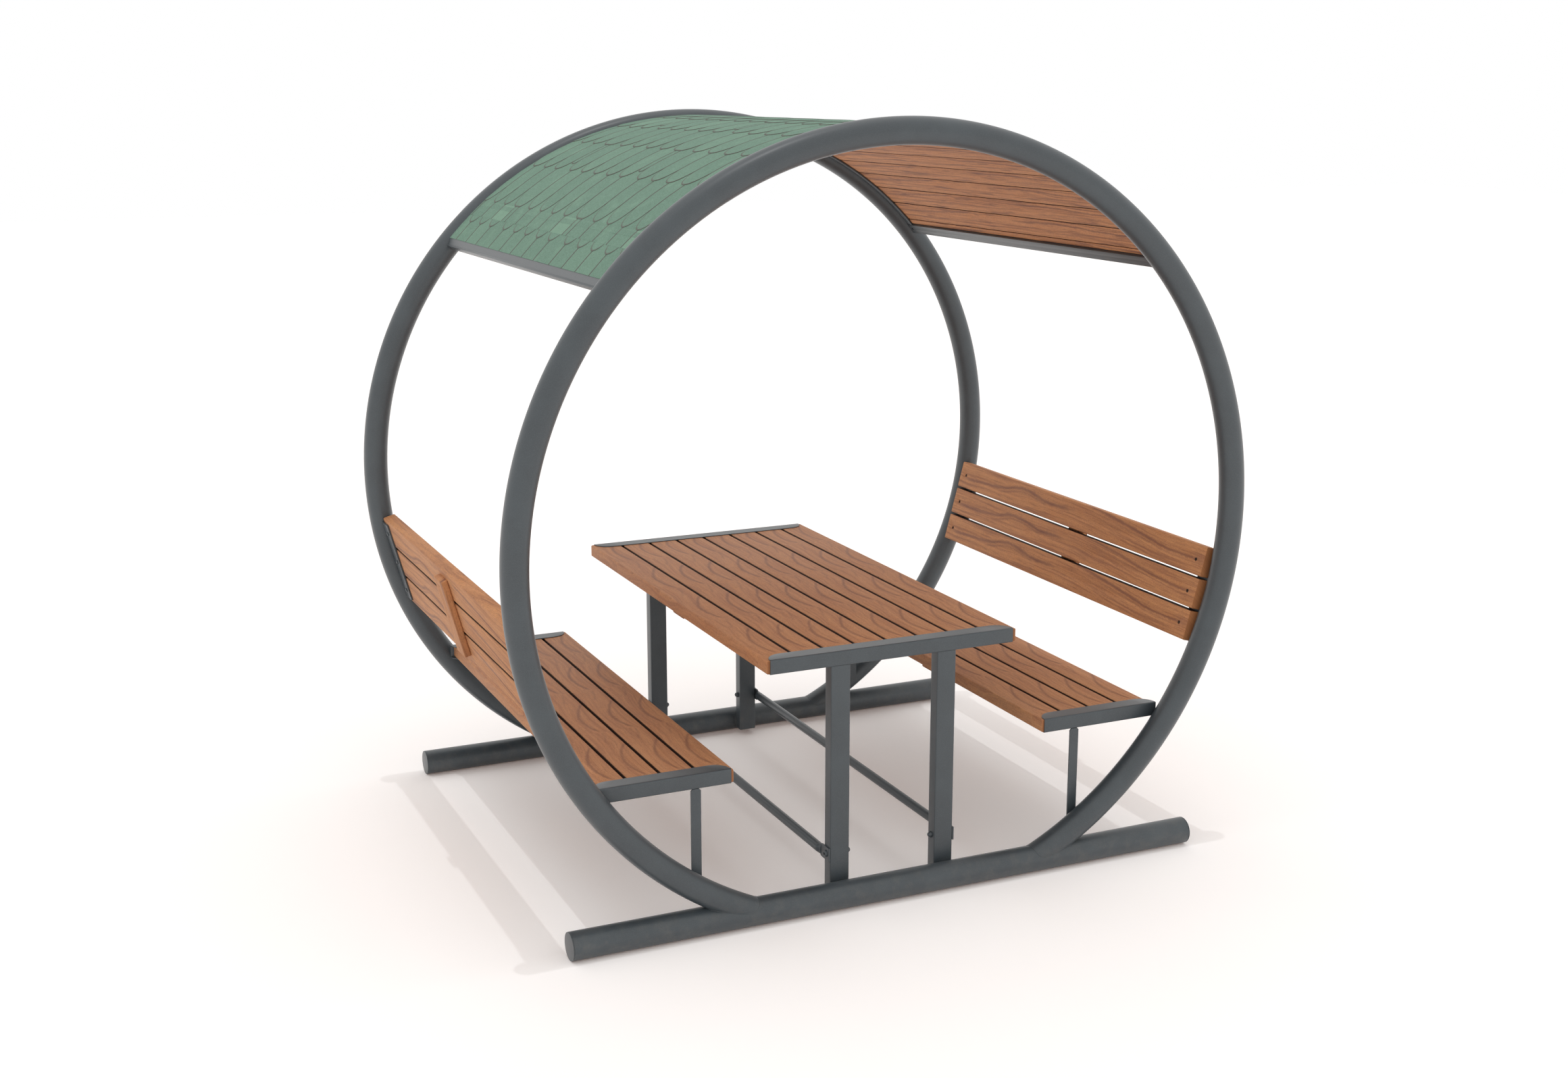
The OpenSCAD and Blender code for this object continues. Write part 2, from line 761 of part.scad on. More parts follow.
// Screws from the front, through slat and plate
module backrest_screws() {
  color(steel)
    for (side = [left, right], end = [front, back])
      at_backrest(side)
        for (z = backrest_zs())
          translate([backrest_face_d + screw_recess, end * back_screw_y, z])
            rotate([0, 90, 0]) {
              translate([0, 0, -screw_head_h])
                cylinder(d = screw_head_d, h = screw_head_h, $fn = round_fn);
              translate([0, 0, -screw_head_h / 2])
                cylinder(
                  d = screw_d,
                  h = screw_head_h / 2 + backrest_slat_t - screw_recess + back_plate_t,
                  $fn = round_fn
                );
            }
}

ring(front);  // front_ring
ring(back);  // back_ring
ground_tube(front);  // front_ground_tube
ground_tube(back);  // back_ground_tube
ground_tube_caps();  // ground_tube_end_caps
post(front, left);  // front_left_post
post(front, right);  // front_right_post
post(back, left);  // back_left_post
post(back, right);  // back_right_post
table_channel(front);  // table_front_channel
table_channel(back);  // table_back_channel
table_slat(1);  // table_slat_1
table_slat(2);  // table_slat_2
table_slat(3);  // table_slat_3
table_slat(4);  // table_slat_4
table_slat(5);  // table_slat_5
table_slat(6);  // table_slat_6
table_slat(7);  // table_slat_7
table_slat(8);  // table_slat_8
table_batten();
brace(left);  // left_brace
brace(right);  // right_brace
brace_bolts();
brace_nuts();
seat_channel(front, left);  // left_seat_front_channel
seat_channel(back, left);  // left_seat_back_channel
seat_slat(left, 1);  // left_seat_slat_1
seat_slat(left, 2);  // left_seat_slat_2
seat_slat(left, 3);  // left_seat_slat_3
seat_slat(left, 4);  // left_seat_slat_4
seat_batten(left);  // left_seat_batten
seat_channel(front, right);  // right_seat_front_channel
seat_channel(back, right);  // right_seat_back_channel
seat_slat(right, 1);  // right_seat_slat_1
seat_slat(right, 2);  // right_seat_slat_2
seat_slat(right, 3);  // right_seat_slat_3
seat_slat(right, 4);  // right_seat_slat_4
seat_batten(right);  // right_seat_batten
seat_struts(left);  // left_seat_struts
seat_struts(right);  // right_seat_struts
backrest_slat(left, 1);  // left_backrest_slat_1
backrest_slat(left, 2);  // left_backrest_slat_2
backrest_slat(left, 3);  // left_backrest_slat_3
backrest_plates(left);  // left_backrest_plates
backrest_batten(left);  // left_backrest_batten
backrest_slat(right, 1);  // right_backrest_slat_1
backrest_slat(right, 2);  // right_backrest_slat_2
backrest_slat(right, 3);  // right_backrest_slat_3
backrest_plates(right);  // right_backrest_plates
backrest_batten(right);  // right_backrest_batten
roof_arch_bar(front);  // front_roof_arch_bar
roof_arch_bar(back);  // back_roof_arch_bar
roof_edge_bar(left);  // left_roof_edge_bar
roof_edge_bar(right);  // right_roof_edge_bar
roof_boards();
roof_shingles();
channel_screws();
batten_screws();
backrest_screws();
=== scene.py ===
"""Looks of a round picnic table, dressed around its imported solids.

The rings, posts, channels and braces are made again as smooth powder coated steel, the slats
and roof boards get their grain, and the roof gets courses of round ended shingles.

Lengths in the classes are millimetres and angles are degrees, unless a name says otherwise.
X runs along the rings, Y from the front ring to the back ring, and Z up.
"""

import logging
import math
from abc import ABC, abstractmethod
from dataclasses import dataclass
from enum import Enum
from typing import Callable, Mapping, Optional, Sequence, Union

import bmesh
import bpy
import numpy as np
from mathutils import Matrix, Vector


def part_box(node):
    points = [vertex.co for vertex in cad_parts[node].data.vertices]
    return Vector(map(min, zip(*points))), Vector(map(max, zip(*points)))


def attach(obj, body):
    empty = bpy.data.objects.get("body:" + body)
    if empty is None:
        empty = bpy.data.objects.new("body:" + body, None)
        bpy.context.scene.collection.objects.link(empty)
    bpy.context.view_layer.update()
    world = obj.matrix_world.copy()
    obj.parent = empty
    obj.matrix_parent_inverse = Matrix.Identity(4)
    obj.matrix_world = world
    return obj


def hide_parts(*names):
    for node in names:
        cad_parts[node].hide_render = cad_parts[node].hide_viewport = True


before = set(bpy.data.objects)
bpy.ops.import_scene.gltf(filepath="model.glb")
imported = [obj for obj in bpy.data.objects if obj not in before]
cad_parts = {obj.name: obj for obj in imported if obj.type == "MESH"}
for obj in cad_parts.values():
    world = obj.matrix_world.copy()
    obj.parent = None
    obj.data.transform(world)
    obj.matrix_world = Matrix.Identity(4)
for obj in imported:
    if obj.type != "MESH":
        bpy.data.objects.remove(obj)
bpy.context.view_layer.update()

LOG = logging.getLogger("round_picnic_table")
MM = 0.001
BODY = "root"

Array = np.ndarray
Material = bpy.types.Material
Socket = bpy.types.NodeSocket
Colour = tuple[float, float, float, float]

# Distances in metres at which points are merged, and angles in radians for edges and faces
MERGE = 2e-6
SOLID_MERGE = 5e-6
NO_LENGTH = 1e-7
FLAT_ANGLE = math.radians(0.6)
EASED_ANGLE = math.radians(60.0)
SMOOTH_ANGLE = math.radians(35.0)


class Sign(Enum):
    """One of two opposite parts of the object, as the sign of an axis."""

    @property
    def word(self) -> str:
        """Returns its word in the names of pieces."""
        return self.name.lower()


class Side(Sign):
    """The two benches' sides, as the sign of X."""

    LEFT = -1
    RIGHT = 1


class End(Sign):
    """The two rings' ends, as the sign of Y."""

    FRONT = -1
    BACK = 1


class Slot(Enum):
    """Material slots of the record."""

    STEEL = "painted_steel"
    TIMBER = "timber"
    ROOF_TIMBER = "roof_timber"
    SHINGLES = "shingles"
    ZINC = "zinc_screws"
    DARK = "dark_screws"


class Lie(Enum):
    """How a timber piece lies, which sets the way its grain runs."""

    TABLE = "table"
    LEFT_SEAT = "left seat"
    RIGHT_SEAT = "right seat"
    LEFT_BACKREST = "left backrest"
    RIGHT_BACKREST = "right backrest"
    ROOF = "roof"
    FLAT_BATTEN = "flat batten"
    LEFT_BATTEN = "left upright batten"
    RIGHT_BATTEN = "right upright batten"

    @property
    def sign(self) -> int:
        """Returns the sign of X of the piece's side, or zero for a piece in the middle."""
        return {"left": -1, "right": 1}.get(self.value.split()[0], 0)

    @property
    def is_level_slat(self) -> bool:
        """Returns whether it is a slat of the table or a seat."""
        return self in (Lie.TABLE, Lie.LEFT_SEAT, Lie.RIGHT_SEAT)

    @property
    def is_backrest(self) -> bool:
        """Returns whether it is a slat of a backrest."""
        return self in (Lie.LEFT_BACKREST, Lie.RIGHT_BACKREST)

    @property
    def is_batten(self) -> bool:
        """Returns whether it is a batten."""
        return self in (Lie.FLAT_BATTEN, Lie.LEFT_BATTEN, Lie.RIGHT_BATTEN)


@dataclass(frozen=True)
class Plan:
    """Sizes that several sub-assemblies share, as the solids have them."""

    ring_r: float = 1112.0
    centre_z: float = 1059.0
    ring_y: float = 781.5
    ring_tube_r: float = 37.75
    ring_wall: float = 3.0
    inner_y: float = 743.5
    ground_r: float = 39.88
    ground_z: float = 39.9
    ground_half: float = 995.5
    cap_t: float = 3.0
    slat_pitch: float = 100.0
    slat_t: float = 38.0
    slat_half: float = 46.0
    table_under_z: float = 710.0
    seat_under_z: float = 414.0
    seat_front_x: float = 497.03
    sheet_t: float = 2.5
    post_out_x: float = 199.0
    post_in_x: float = 139.0
    post_face_y: float = 741.5
    post_in_y: float = 701.5
    post_foot_z: float = 18.0
    brace_z: float = 147.0
    brace_plate_t: float = 5.0
    lean: float = 15.0
    backrest_face: float = 1065.0
    back_plate: float = 1105.0
    back_plate_t: float = 6.0
    table_batten_t: float = 25.0
    batten_t: float = 20.0
    lip_screw_y: float = 696.5
    back_screw_y: float = 700.955
    board_pitch: float = 4.4285
    roof_half: float = 47.65

    @property
    def post_y(self) -> float:
        """Returns the Y of the middle of the back posts."""
        return (self.post_face_y + self.post_in_y) / 2

    def table_slats(self) -> Array:
        """Returns the X of the middles of the eight table slats."""
        return (np.arange(8) - 3.5) * self.slat_pitch

    def seat_slats(self) -> Array:
        """Returns the X of the middles of the right seat's four slats."""
        return self.seat_front_x + self.slat_half + np.arange(4) * self.slat_pitch


PLAN = Plan()


# Meshes


@dataclass
class Shell:
    """One closed skin.

    Attributes:
        points: Corner points, in millimetres.
        faces: Faces as lists of point numbers.
        spread: A pair for each point that the material reads as its UV map.
        tone: A number from 0 to 1 for the whole skin that the material reads.
    """

    points: Array
    faces: list[list[int]]
    spread: Optional[Array] = None
    tone: float = 0.5


def unit(vectors: Array) -> Array:
    """Returns the vectors scaled to length one."""
    return vectors / np.linalg.norm(vectors, axis=-1, keepdims=True)


def circle(radius: float, count: int) -> Array:
    """Returns count points round a circle: radius times the cosine and sine of even angles."""
    angle = np.arange(count) * 2 * np.pi / count
    return radius * np.stack([np.cos(angle), np.sin(angle)], -1)


def rounded_box(width: float, height: float, radius: float, steps: int = 5) -> Array:
    """Gives the outline of a rectangle whose corners are quarter circles.

    Each corner's centre lies one radius in from both sides, and the corner's points stand at
    that centre plus the radius times the cosine and sine of angles over its quarter turn.

    Args:
        width: Size along the first axis.
        height: Size along the second axis.
        radius: Radius of the corners.
        steps: Steps in each corner.

    Returns:
        Points counter-clockwise, one row each.
    """
    turn = np.linspace(0, np.pi / 2, steps + 1)
    start = np.arange(4)[:, None] * np.pi / 2
    sign = np.array([[1, 1], [-1, 1], [-1, -1], [1, -1]], float)
    centre = sign * (np.array([width, height]) / 2 - radius)
    angle = start + turn
    arc = radius * np.stack([np.cos(angle), np.sin(angle)], -1)
    return (centre[:, None, :] + arc).reshape(-1, 2)


def inset(outline: Array, depth: float) -> Array:
    """Moves an outline inwards, along the mitre of the two sides at each point.

    Args:
        outline: Points counter-clockwise.
        depth: How far each side moves.

    Returns:
        The smaller outline.
    """
    edge = np.roll(outline, -1, axis=0) - outline
    normal = unit(np.stack([edge[:, 1], -edge[:, 0]], -1))
    before = np.roll(normal, 1, axis=0)
    mitre = (normal + before) / (1 + (normal * before).sum(-1, keepdims=True))
    return outline - depth * mitre


def carry(outline: Array, origins: Array, across: Array, upward: Array) -> Array:
    """Carries an outline along a path.

    A point is the path's point plus the outline's first number times the across direction and
    its second number times the upward direction.

    Args:
        outline: Points of one outline, or one outline for each point of the path.
        origins: Points of the path.
        across: Direction of the outline's first axis, one or one for each point of the path.
        upward: Direction of the outline's second axis, likewise.

    Returns:
        Rings of points, one for each point of the path.
    """
    origins = np.atleast_2d(np.asarray(origins, float))
    outlines = np.broadcast_to(outline, (len(origins),) + np.shape(outline)[-2:])
    across = np.broadcast_to(np.asarray(across, float), origins.shape)
    upward = np.broadcast_to(np.asarray(upward, float), origins.shape)
    return (
        origins[:, None, :]
        + outlines[..., :1] * across[:, None, :]
        + outlines[..., 1:] * upward[:, None, :]
    )


def loft(rings: Array, closed: bool = False, first_cap: bool = True, last_cap: bool = True) -> Shell:
    """Skins a row of rings, each joined to the next by four-sided faces.

    Args:
        rings: Rings of points, all with the same count.
        closed: Joins the last ring to the first, as in a hoop.
        first_cap: Closes the first ring with one face.
        last_cap: Closes the last ring with one face.

    Returns:
        The skin.
    """
    rows, count = rings.shape[:2]
    number = np.arange(rows * count).reshape(rows, count)
    table = np.vstack([number, number[:1]]) if closed else number
    low, high = table[:-1], table[1:]
    quads = np.stack([low, np.roll(low, -1, 1), np.roll(high, -1, 1), high], -1)
    faces = quads.reshape(-1, 4).tolist()
    if not closed and first_cap:
        faces.append(number[0, ::-1].tolist())
    if not closed and last_cap:
        faces.append(number[-1].tolist())
    return Shell(rings.reshape(-1, 3), faces)


def bar(
    outline: Array, start: Sequence[float], finish: Sequence[float],
    across: Sequence[float], upward: Sequence[float], ease: float,
) -> Shell:
    """Makes a straight bar whose end edges are eased by a short slope.

    Args:
        outline: The bar's section.
        start: Middle of one end.
        finish: Middle of the other end.
        across: Direction of the section's first axis.
        upward: Direction of the section's second axis.
        ease: Size of the slope at the ends.

    Returns:
        The skin of the bar.
    """
    start, finish = np.asarray(start, float), np.asarray(finish, float)
    along = unit(finish - start) * ease
    path = np.array([start, start + along, finish - along, finish])
    small = inset(outline, ease)
    return loft(carry(np.array([small, outline, outline, small]), path, across, upward))


@dataclass(frozen=True)
class Axis:
    """A turned piece's axis: where it starts, where it points, and a direction across it."""

    origin: Sequence[float]
    along: Sequence[float]
    across: Sequence[float] = (0.0, 1.0, 0.0)


def turned(
    profile: Array, axis: Axis, count: int = 32, flats: int = 0,
    cut: Optional[Sequence[float]] = None, closed: bool = False,
) -> Shell:
    """Turns a profile about an axis, some of its rings with flat sides.

    A point is the origin plus the profile's distance along the axis, plus its radius times the
    cosine and sine of an even angle. A ring with flats has its radius multiplied by the cosine
    of half a side's angle over the cosine of the angle to that side's middle.

    Args:
        profile: Rows of distance along the axis and radius.
        axis: The axis.
        count: Points round the axis.
        flats: Number of flat sides of the rings that have them.
        cut: For each ring, one where it has flat sides and zero where it is round.
        closed: Whether the profile's end joins its start, as in a tube or a washer.

    Returns:
        The skin.
    """
    along = np.array(axis.along)
    across = np.array(axis.across)
    upward = np.cross(along, across)
    angle = np.arange(count) * 2 * np.pi / count
    radius = np.repeat(profile[:, 1:], count, axis=1)
    if flats:
        half = np.pi / flats
        side = np.cos(half) / np.cos(np.mod(angle, 2 * half) - half)
        radius = radius * (1 + np.asarray(cut)[:, None] * (side - 1))
    rings = (
        np.array(axis.origin)
        + profile[:, :1, None] * along
        + (radius * np.cos(angle))[..., None] * across
        + (radius * np.sin(angle))[..., None] * upward
    )
    return loft(rings, closed=closed, first_cap=False, last_cap=False)


@dataclass(frozen=True)
class Weld:
    """A weld seam with ripples.

    Its radius swells by a share of itself over the length of each ripple, and another share of
    it is left at an open end, where the seam tapers.
    """

    radius: float
    ripple: float = 7.0
    swell: float = 0.1
    taper: float = 0.45
    round_steps: int = 8

    def lay(self, path: Array, beside: Sequence[float], closed: bool = False) -> Shell:
        """Lays the seam along a path.

        Each ring is a small circle square to the path, and its radius swells with the sine of
        the distance along the path over the ripple's length.

        Args:
            path: Points of the path.
            beside: A direction that the path never follows.
            closed: Whether the path closes on itself.

        Returns:
            The skin of the seam.
        """
        if closed:
            tangent = unit(np.roll(path, -1, axis=0) - np.roll(path, 1, axis=0))
        else:
            tangent = unit(np.gradient(path, axis=0))
        across = unit(np.cross(tangent, np.asarray(beside, float)))
        upward = np.cross(tangent, across)
        step = np.linalg.norm(np.diff(path, axis=0, prepend=path[:1]), axis=-1)
        share = 1 + self.swell * np.sin(np.cumsum(step) * 2 * np.pi / self.ripple)
        if not closed:
            share[[0, -1]] *= self.taper
        outlines = circle(self.radius, self.round_steps)[None] * share[:, None, None]
        return loft(carry(outlines, path, across, upward), closed=closed)


def make_object(name: str, shells: Sequence[Shell]) -> bpy.types.Object:
    """Puts skins into one new object.

    Args:
        name: Name of the object.
        shells: Closed skins, all with a spread or all without one.

    Returns:
        The object, at the origin.
    """
    starts = np.cumsum([0] + [len(shell.points) for shell in shells])
    points = np.concatenate([shell.points for shell in shells]) * MM
    faces = [
        [corner + int(start) for corner in face]
        for shell, start in zip(shells, starts)
        for face in shell.faces
    ]
    mesh = bpy.data.meshes.new(name)
    mesh.from_pydata(points.tolist(), [], faces)
    if shells[0].spread is not None:
        spread = np.concatenate([shell.spread for shell in shells])
        corners = np.zeros(len(mesh.loops), np.int32)
        mesh.loops.foreach_get("vertex_index", corners)
        layer = mesh.uv_layers.new(name="Spread")
        layer.data.foreach_set("uv", spread[corners].astype(np.float32).ravel())
        tone = np.concatenate([np.full(len(shell.points), shell.tone) for shell in shells])
        attribute = mesh.attributes.new("tone", "FLOAT", "POINT")
        attribute.data.foreach_set("value", tone.astype(np.float32))
    made = bpy.data.objects.new(name, mesh)
    bpy.context.scene.collection.objects.link(made)
    return made


def tidy_mesh(made: bpy.types.Object, ease: float) -> None:
    """Closes seams and poles, turns faces outwards, eases sharp edges and shades the rest smooth.

    Args:
        made: The object.
        ease: Width of the eased edges, or zero for none.
    """
    mesh = made.data
    work = bmesh.new()
    work.from_mesh(mesh)
    bmesh.ops.remove_doubles(work, verts=work.verts, dist=MERGE)
    bmesh.ops.dissolve_degenerate(work, dist=NO_LENGTH, edges=work.edges)
    bmesh.ops.recalc_face_normals(work, faces=work.faces)
    if ease > 0:
        sharp = [
            edge for edge in work.edges
            if len(edge.link_faces) == 2 and edge.calc_face_angle(0.0) > EASED_ANGLE
        ]
        bmesh.ops.bevel(
            work, geom=sharp, offset=ease * MM, offset_type="OFFSET", segments=2,
            profile=0.5, affect="EDGES", clamp_overlap=True,
        )
    work.to_mesh(mesh)
    work.free()
    mesh.shade_smooth()
    mesh.set_sharp_from_angle(angle=SMOOTH_ANGLE)
    mesh.update()


def copy_solid(node: str) -> bpy.types.Object:
    """Copies a solid's mesh into a new object, with its loose triangles merged to plain faces.

    Args:
        node: Name of the solid.

    Returns:
        The new object, at the origin.
    """
    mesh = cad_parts[node].data.copy()
    mesh.materials.clear()
    work = bmesh.new()
    work.from_mesh(mesh)
    bmesh.ops.remove_doubles(work, verts=work.verts, dist=SOLID_MERGE)
    bmesh.ops.dissolve_limit(
        work, angle_limit=FLAT_ANGLE, verts=work.verts, edges=work.edges,
        use_dissolve_boundaries=False,
    )
    work.to_mesh(mesh)
    work.free()
    made = bpy.data.objects.new(f"{node}_eased", mesh)
    bpy.context.scene.collection.objects.link(made)
    return made


def dress(
    made: bpy.types.Object, material: Material, slot: Slot, nodes: Sequence[str] = ()
) -> None:
    """Gives a finished piece its material and body, and hides the solids that it stands for.

    Args:
        made: The finished piece.
        material: Its finish.
        slot: The record's slot of that finish. It is not used.
        nodes: Solids that the piece stands for.
    """
    made.data.materials.clear()
    made.data.materials.append(material)
    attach(made, BODY)
    if nodes:
        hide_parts(*nodes)
    stands_for = ", ".join(nodes) or "no solid"
    LOG.info("%s: %d faces, stands for %s", made.name, len(made.data.polygons), stands_for)


def add_piece(
    name: str, shells: Sequence[Shell], material: Material, slot: Slot,
    nodes: Sequence[str] = (), ease: float = 0.0,
) -> None:
    """Makes one piece of closed skins, tidies its mesh and dresses it.

    Args:
        name: Name of the piece.
        shells: Its skins.
        material: Its finish.
        slot: The record's slot of that finish.
        nodes: Solids that the piece stands for.
        ease: Width of its eased edges, or zero for none.
    """
    made = make_object(name, shells)
    tidy_mesh(made, ease)
    dress(made, material, slot, nodes)


@dataclass
class EasedCopies:
    """Pieces that keep their solids' shape and get eased edges."""

    nodes: Sequence[str]
    material: Material
    slot: Slot = Slot.TIMBER
    ease: float = 1.2

    def build(self) -> None:
        """Makes one piece for each solid."""
        for node in self.nodes:
            made = copy_solid(node)
            tidy_mesh(made, self.ease)
            dress(made, self.material, self.slot, [node])


# Shader maths


def operation(kind: str, reflected: bool = False) -> Callable[["Value", "Number"], "Value"]:
    """Makes a method of the class Value that adds one Math node of two terms.

    Args:
        kind: The node's operation.
        reflected: Whether the method's own value is the second term, as in 1 - mask.

    Returns:
        The method.
    """

    def method(self: "Value", other: "Number") -> "Value":
        """Returns the operation's result."""
        terms = (other, self) if reflected else (self, other)
        return self.graph.math(kind, *terms)

    return method


class Value:
    """A number that varies over a surface, written with Python's operators."""

    __add__ = operation("ADD")
    __radd__ = operation("ADD", reflected=True)
    __sub__ = operation("SUBTRACT")
    __rsub__ = operation("SUBTRACT", reflected=True)
    __mul__ = operation("MULTIPLY")
    __rmul__ = operation("MULTIPLY", reflected=True)
    __truediv__ = operation("DIVIDE")
    __rtruediv__ = operation("DIVIDE", reflected=True)
    largest = operation("MAXIMUM")
    smallest = operation("MINIMUM")

    def __init__(self, graph: "Graph", socket: Socket) -> None:
        """Wraps an output socket of a graph."""
        self.graph = graph
        self.socket = socket

    def __abs__(self) -> "Value":
        """Returns the absolute value."""
        return self.graph.math("ABSOLUTE", self)

    def floor(self) -> "Value":
        """Returns the next whole number down."""
        return self.graph.math("FLOOR", self)

    def fraction(self) -> "Value":
        """Returns what lies above the next whole number down."""
        return self.graph.math("FRACT", self)

    def root(self) -> "Value":
        """Returns the square root."""
        return self.graph.math("SQRT", self)

    def rise(self, low: float, high: float) -> "Value":
        """Returns a smooth step from zero at low to one at high."""
        settings = {"interpolation_type": "SMOOTHSTEP", "clamp": True}
        return self.graph.value("ShaderNodeMapRange", settings, {0: self, 1: low, 2: high})


Number = Union[float, Value]
Settings = Optional[Mapping[str, object]]
Inputs = Optional[Mapping[Union[str, int], object]]


class Graph:
    """A node tree of a material or the world, with short ways to add nodes."""

    def __init__(self, owner: Union[Material, bpy.types.World]) -> None:
        """Clears the owner's node tree and keeps it.

        Args:
            owner: The material or the world.
        """
        owner.use_nodes = True
        self.tree = owner.node_tree
        self.tree.nodes.clear()

    def node(self, kind: str, settings: Settings = None, inputs: Inputs = None) -> bpy.types.Node:
        """Adds one node.

        Args:
            kind: The node's type.
            settings: Its settings, set first. The key path stands for a curve's points.
            inputs: Numbers, colours or sockets for its inputs, by name or number.

        Returns:
            The node.
        """
        made = self.tree.nodes.new(kind)
        for name, setting in (settings or {}).items():
            if name == "path":
                self._shape_curve(made, setting)
            else:
                setattr(made, name, setting)
        for key, given in (inputs or {}).items():
            if isinstance(given, Value):
                self.tree.links.new(given.socket, made.inputs[key])
            elif isinstance(given, Socket):
                self.tree.links.new(given, made.inputs[key])
            else:
                made.inputs[key].default_value = given
        return made

    @staticmethod
    def _shape_curve(made: bpy.types.Node, path: Sequence[tuple[float, float]]) -> None:
        """Gives a Float Curve node its points.

        Args:
            made: The node.
            path: Points of the curve, both numbers from 0 to 1.
        """
        curve = made.mapping.curves[0]
        curve.points[0].location = path[0]
        curve.points[-1].location = path[-1]
        for place in path[1:-1]:
            curve.points.new(*place)
        made.mapping.extend = "HORIZONTAL"
        made.mapping.update()

    def value(
        self, kind: str, settings: Settings = None, inputs: Inputs = None,
        output: Union[str, int] = 0,
    ) -> Value:
        """Adds one node as node does, and returns its output of a name or number."""
        return Value(self, self.node(kind, settings, inputs).outputs[output])

    def math(self, operation: str, *terms: Number) -> Value:
        """Adds a Math node for one operation and returns its result."""
        return self.value("ShaderNodeMath", {"operation": operation}, dict(enumerate(terms)))

    def place(self) -> tuple[Value, Value, Value]:
        """Returns the three Object coordinates, in metres."""
        source = self.node("ShaderNodeTexCoord")
        split = self.node("ShaderNodeSeparateXYZ", None, {0: source.outputs["Object"]})
        return tuple(Value(self, split.outputs[i]) for i in range(3))

    def vector(self, x: Number, y: Number, z: Number) -> Socket:
        """Returns a vector of three numbers."""
        return self.node("ShaderNodeCombineXYZ", None, {0: x, 1: y, 2: z}).outputs[0]

    def noise(
        self, where: Socket, scale: float, detail: float = 2.0, rough: float = 0.5
    ) -> Value:
        """Returns soft noise from 0 to 1 with its waves in each metre and its finer layers."""
        inputs = {"Vector": where, "Scale": scale, "Detail": detail, "Roughness": rough}
        return self.value("ShaderNodeTexNoise", None, inputs)

    def chance(self, number: Value) -> Value:
        """Returns an even random number from 0 to 1 that belongs to a whole number."""
        return self.value("ShaderNodeTexWhiteNoise", {"noise_dimensions": "1D"}, {"W": number})

    def paint(self, first: Colour, *coats: tuple[Number, Colour]) -> Socket:
        """Lays coats of colour over a first one.

        Args:
            first: The colour underneath.
            coats: For each coat how much it covers, from 0 to 1, and its colour.

        Returns:
            The colour on top.
        """
        tint = first
        for cover, shade in coats:
            settings = {"data_type": "RGBA", "clamp_factor": True}
            tint = self.node("ShaderNodeMix", settings, {0: cover, 6: tint, 7: shade}).outputs[2]
        return tint

    def bump(self, height: Value, strength: float, distance: float) -> Socket:
        """Returns a normal tilted by a height, where a height of one is a distance in metres."""
        inputs = {"Strength": strength, "Distance": distance, "Height": height}
        return self.node("ShaderNodeBump", None, inputs).outputs[0]

    def finish(self, sockets: Mapping[str, object]) -> None:
        """Ends the tree with one surface shader that has the given numbers and links."""
        shader = self.node("ShaderNodeBsdfPrincipled", None, sockets)
        self.node("ShaderNodeOutputMaterial", None, {"Surface": shader.outputs[0]})


def colour(red: int, green: int, blue: int) -> Colour:
    """Turns a screen colour into the linear colour of a shader.

    Args:
        red: Its red, from 0 to 255.
        green: Its green.
        blue: Its blue.

    Returns:
        The linear colour.
    """
    parts = np.array([red, green, blue]) / 255.0
    linear = np.where(parts <= 0.04045, parts / 12.92, ((parts + 0.055) / 1.055) ** 2.4)
    return (*linear.tolist(), 1.0)


# Finishes


@dataclass(frozen=True)
class PowderCoat:
    """Dark grey powder coat with a fine sandy texture, dusty near the ground."""

    name: str = "dark_powder_coat"
    base: Colour = colour(63, 71, 76)
    pale: Colour = colour(78, 86, 90)
    deep: Colour = colour(56, 63, 68)
    dust: Colour = colour(112, 108, 102)
    roughness: float = 0.46
    coat: float = 0.5
    coat_roughness: float = 0.34
    dusty_height: float = 0.16
    sand_depth: float = 0.0002

    def build(self) -> Material:
        """Returns the material: mottled base colour, dust by height, and an orange peel bump."""
        material = bpy.data.materials.new(self.name)
        graph = Graph(material)
        x, y, z = graph.place()
        where = graph.vector(x, y, z)
        grit = graph.noise(where, 1400.0, 2.0, 0.6)
        cloud = graph.noise(where, 9.0, 3.0, 0.6)
        speck = graph.noise(where, 560.0, 2.0, 0.6)
        drift = graph.noise(where, 26.0, 4.0, 0.65)
        powder = (1.0 - z.rise(0.0, self.dusty_height)) * drift.rise(0.4, 0.8) * 0.35
        tint = graph.paint(
            self.deep,
            (cloud.rise(0.35, 0.75), self.base),
            (speck.rise(0.42, 0.72) * 0.45, self.pale),
            (powder, self.dust),
        )
        graph.finish({
            "Base Color": tint,
            "Roughness": self.roughness + (cloud - 0.5) * 0.12 + powder * 0.3,
            "Specular IOR Level": 0.5,
            "Coat Weight": self.coat,
            "Coat Roughness": self.coat_roughness,
            "Normal": graph.bump(grit + speck * 0.6, 0.2, self.sand_depth),
        })
        return material


@dataclass(frozen=True)
class Screw:
    """Bare or blackened screw steel with fine turning marks."""

    name: str
    base: Colour
    dull: Colour
    metallic: float = 0.85
    roughness: float = 0.38
    mark_depth: float = 0.0001

    def build(self) -> Material:
        """Returns the material: two tones of metal in fine noise."""
        material = bpy.data.materials.new(self.name)
        graph = Graph(material)
        where = graph.vector(*graph.place())
        stain = graph.noise(where, 180.0, 3.0, 0.6)
        graph.finish({
            "Base Color": graph.paint(self.base, (stain.rise(0.4, 0.7), self.dull)),
            "Roughness": self.roughness + stain * 0.2,
            "Metallic": self.metallic,
            "Normal": graph.bump(graph.noise(where, 2600.0), 0.15, self.mark_depth),
        })
        return material


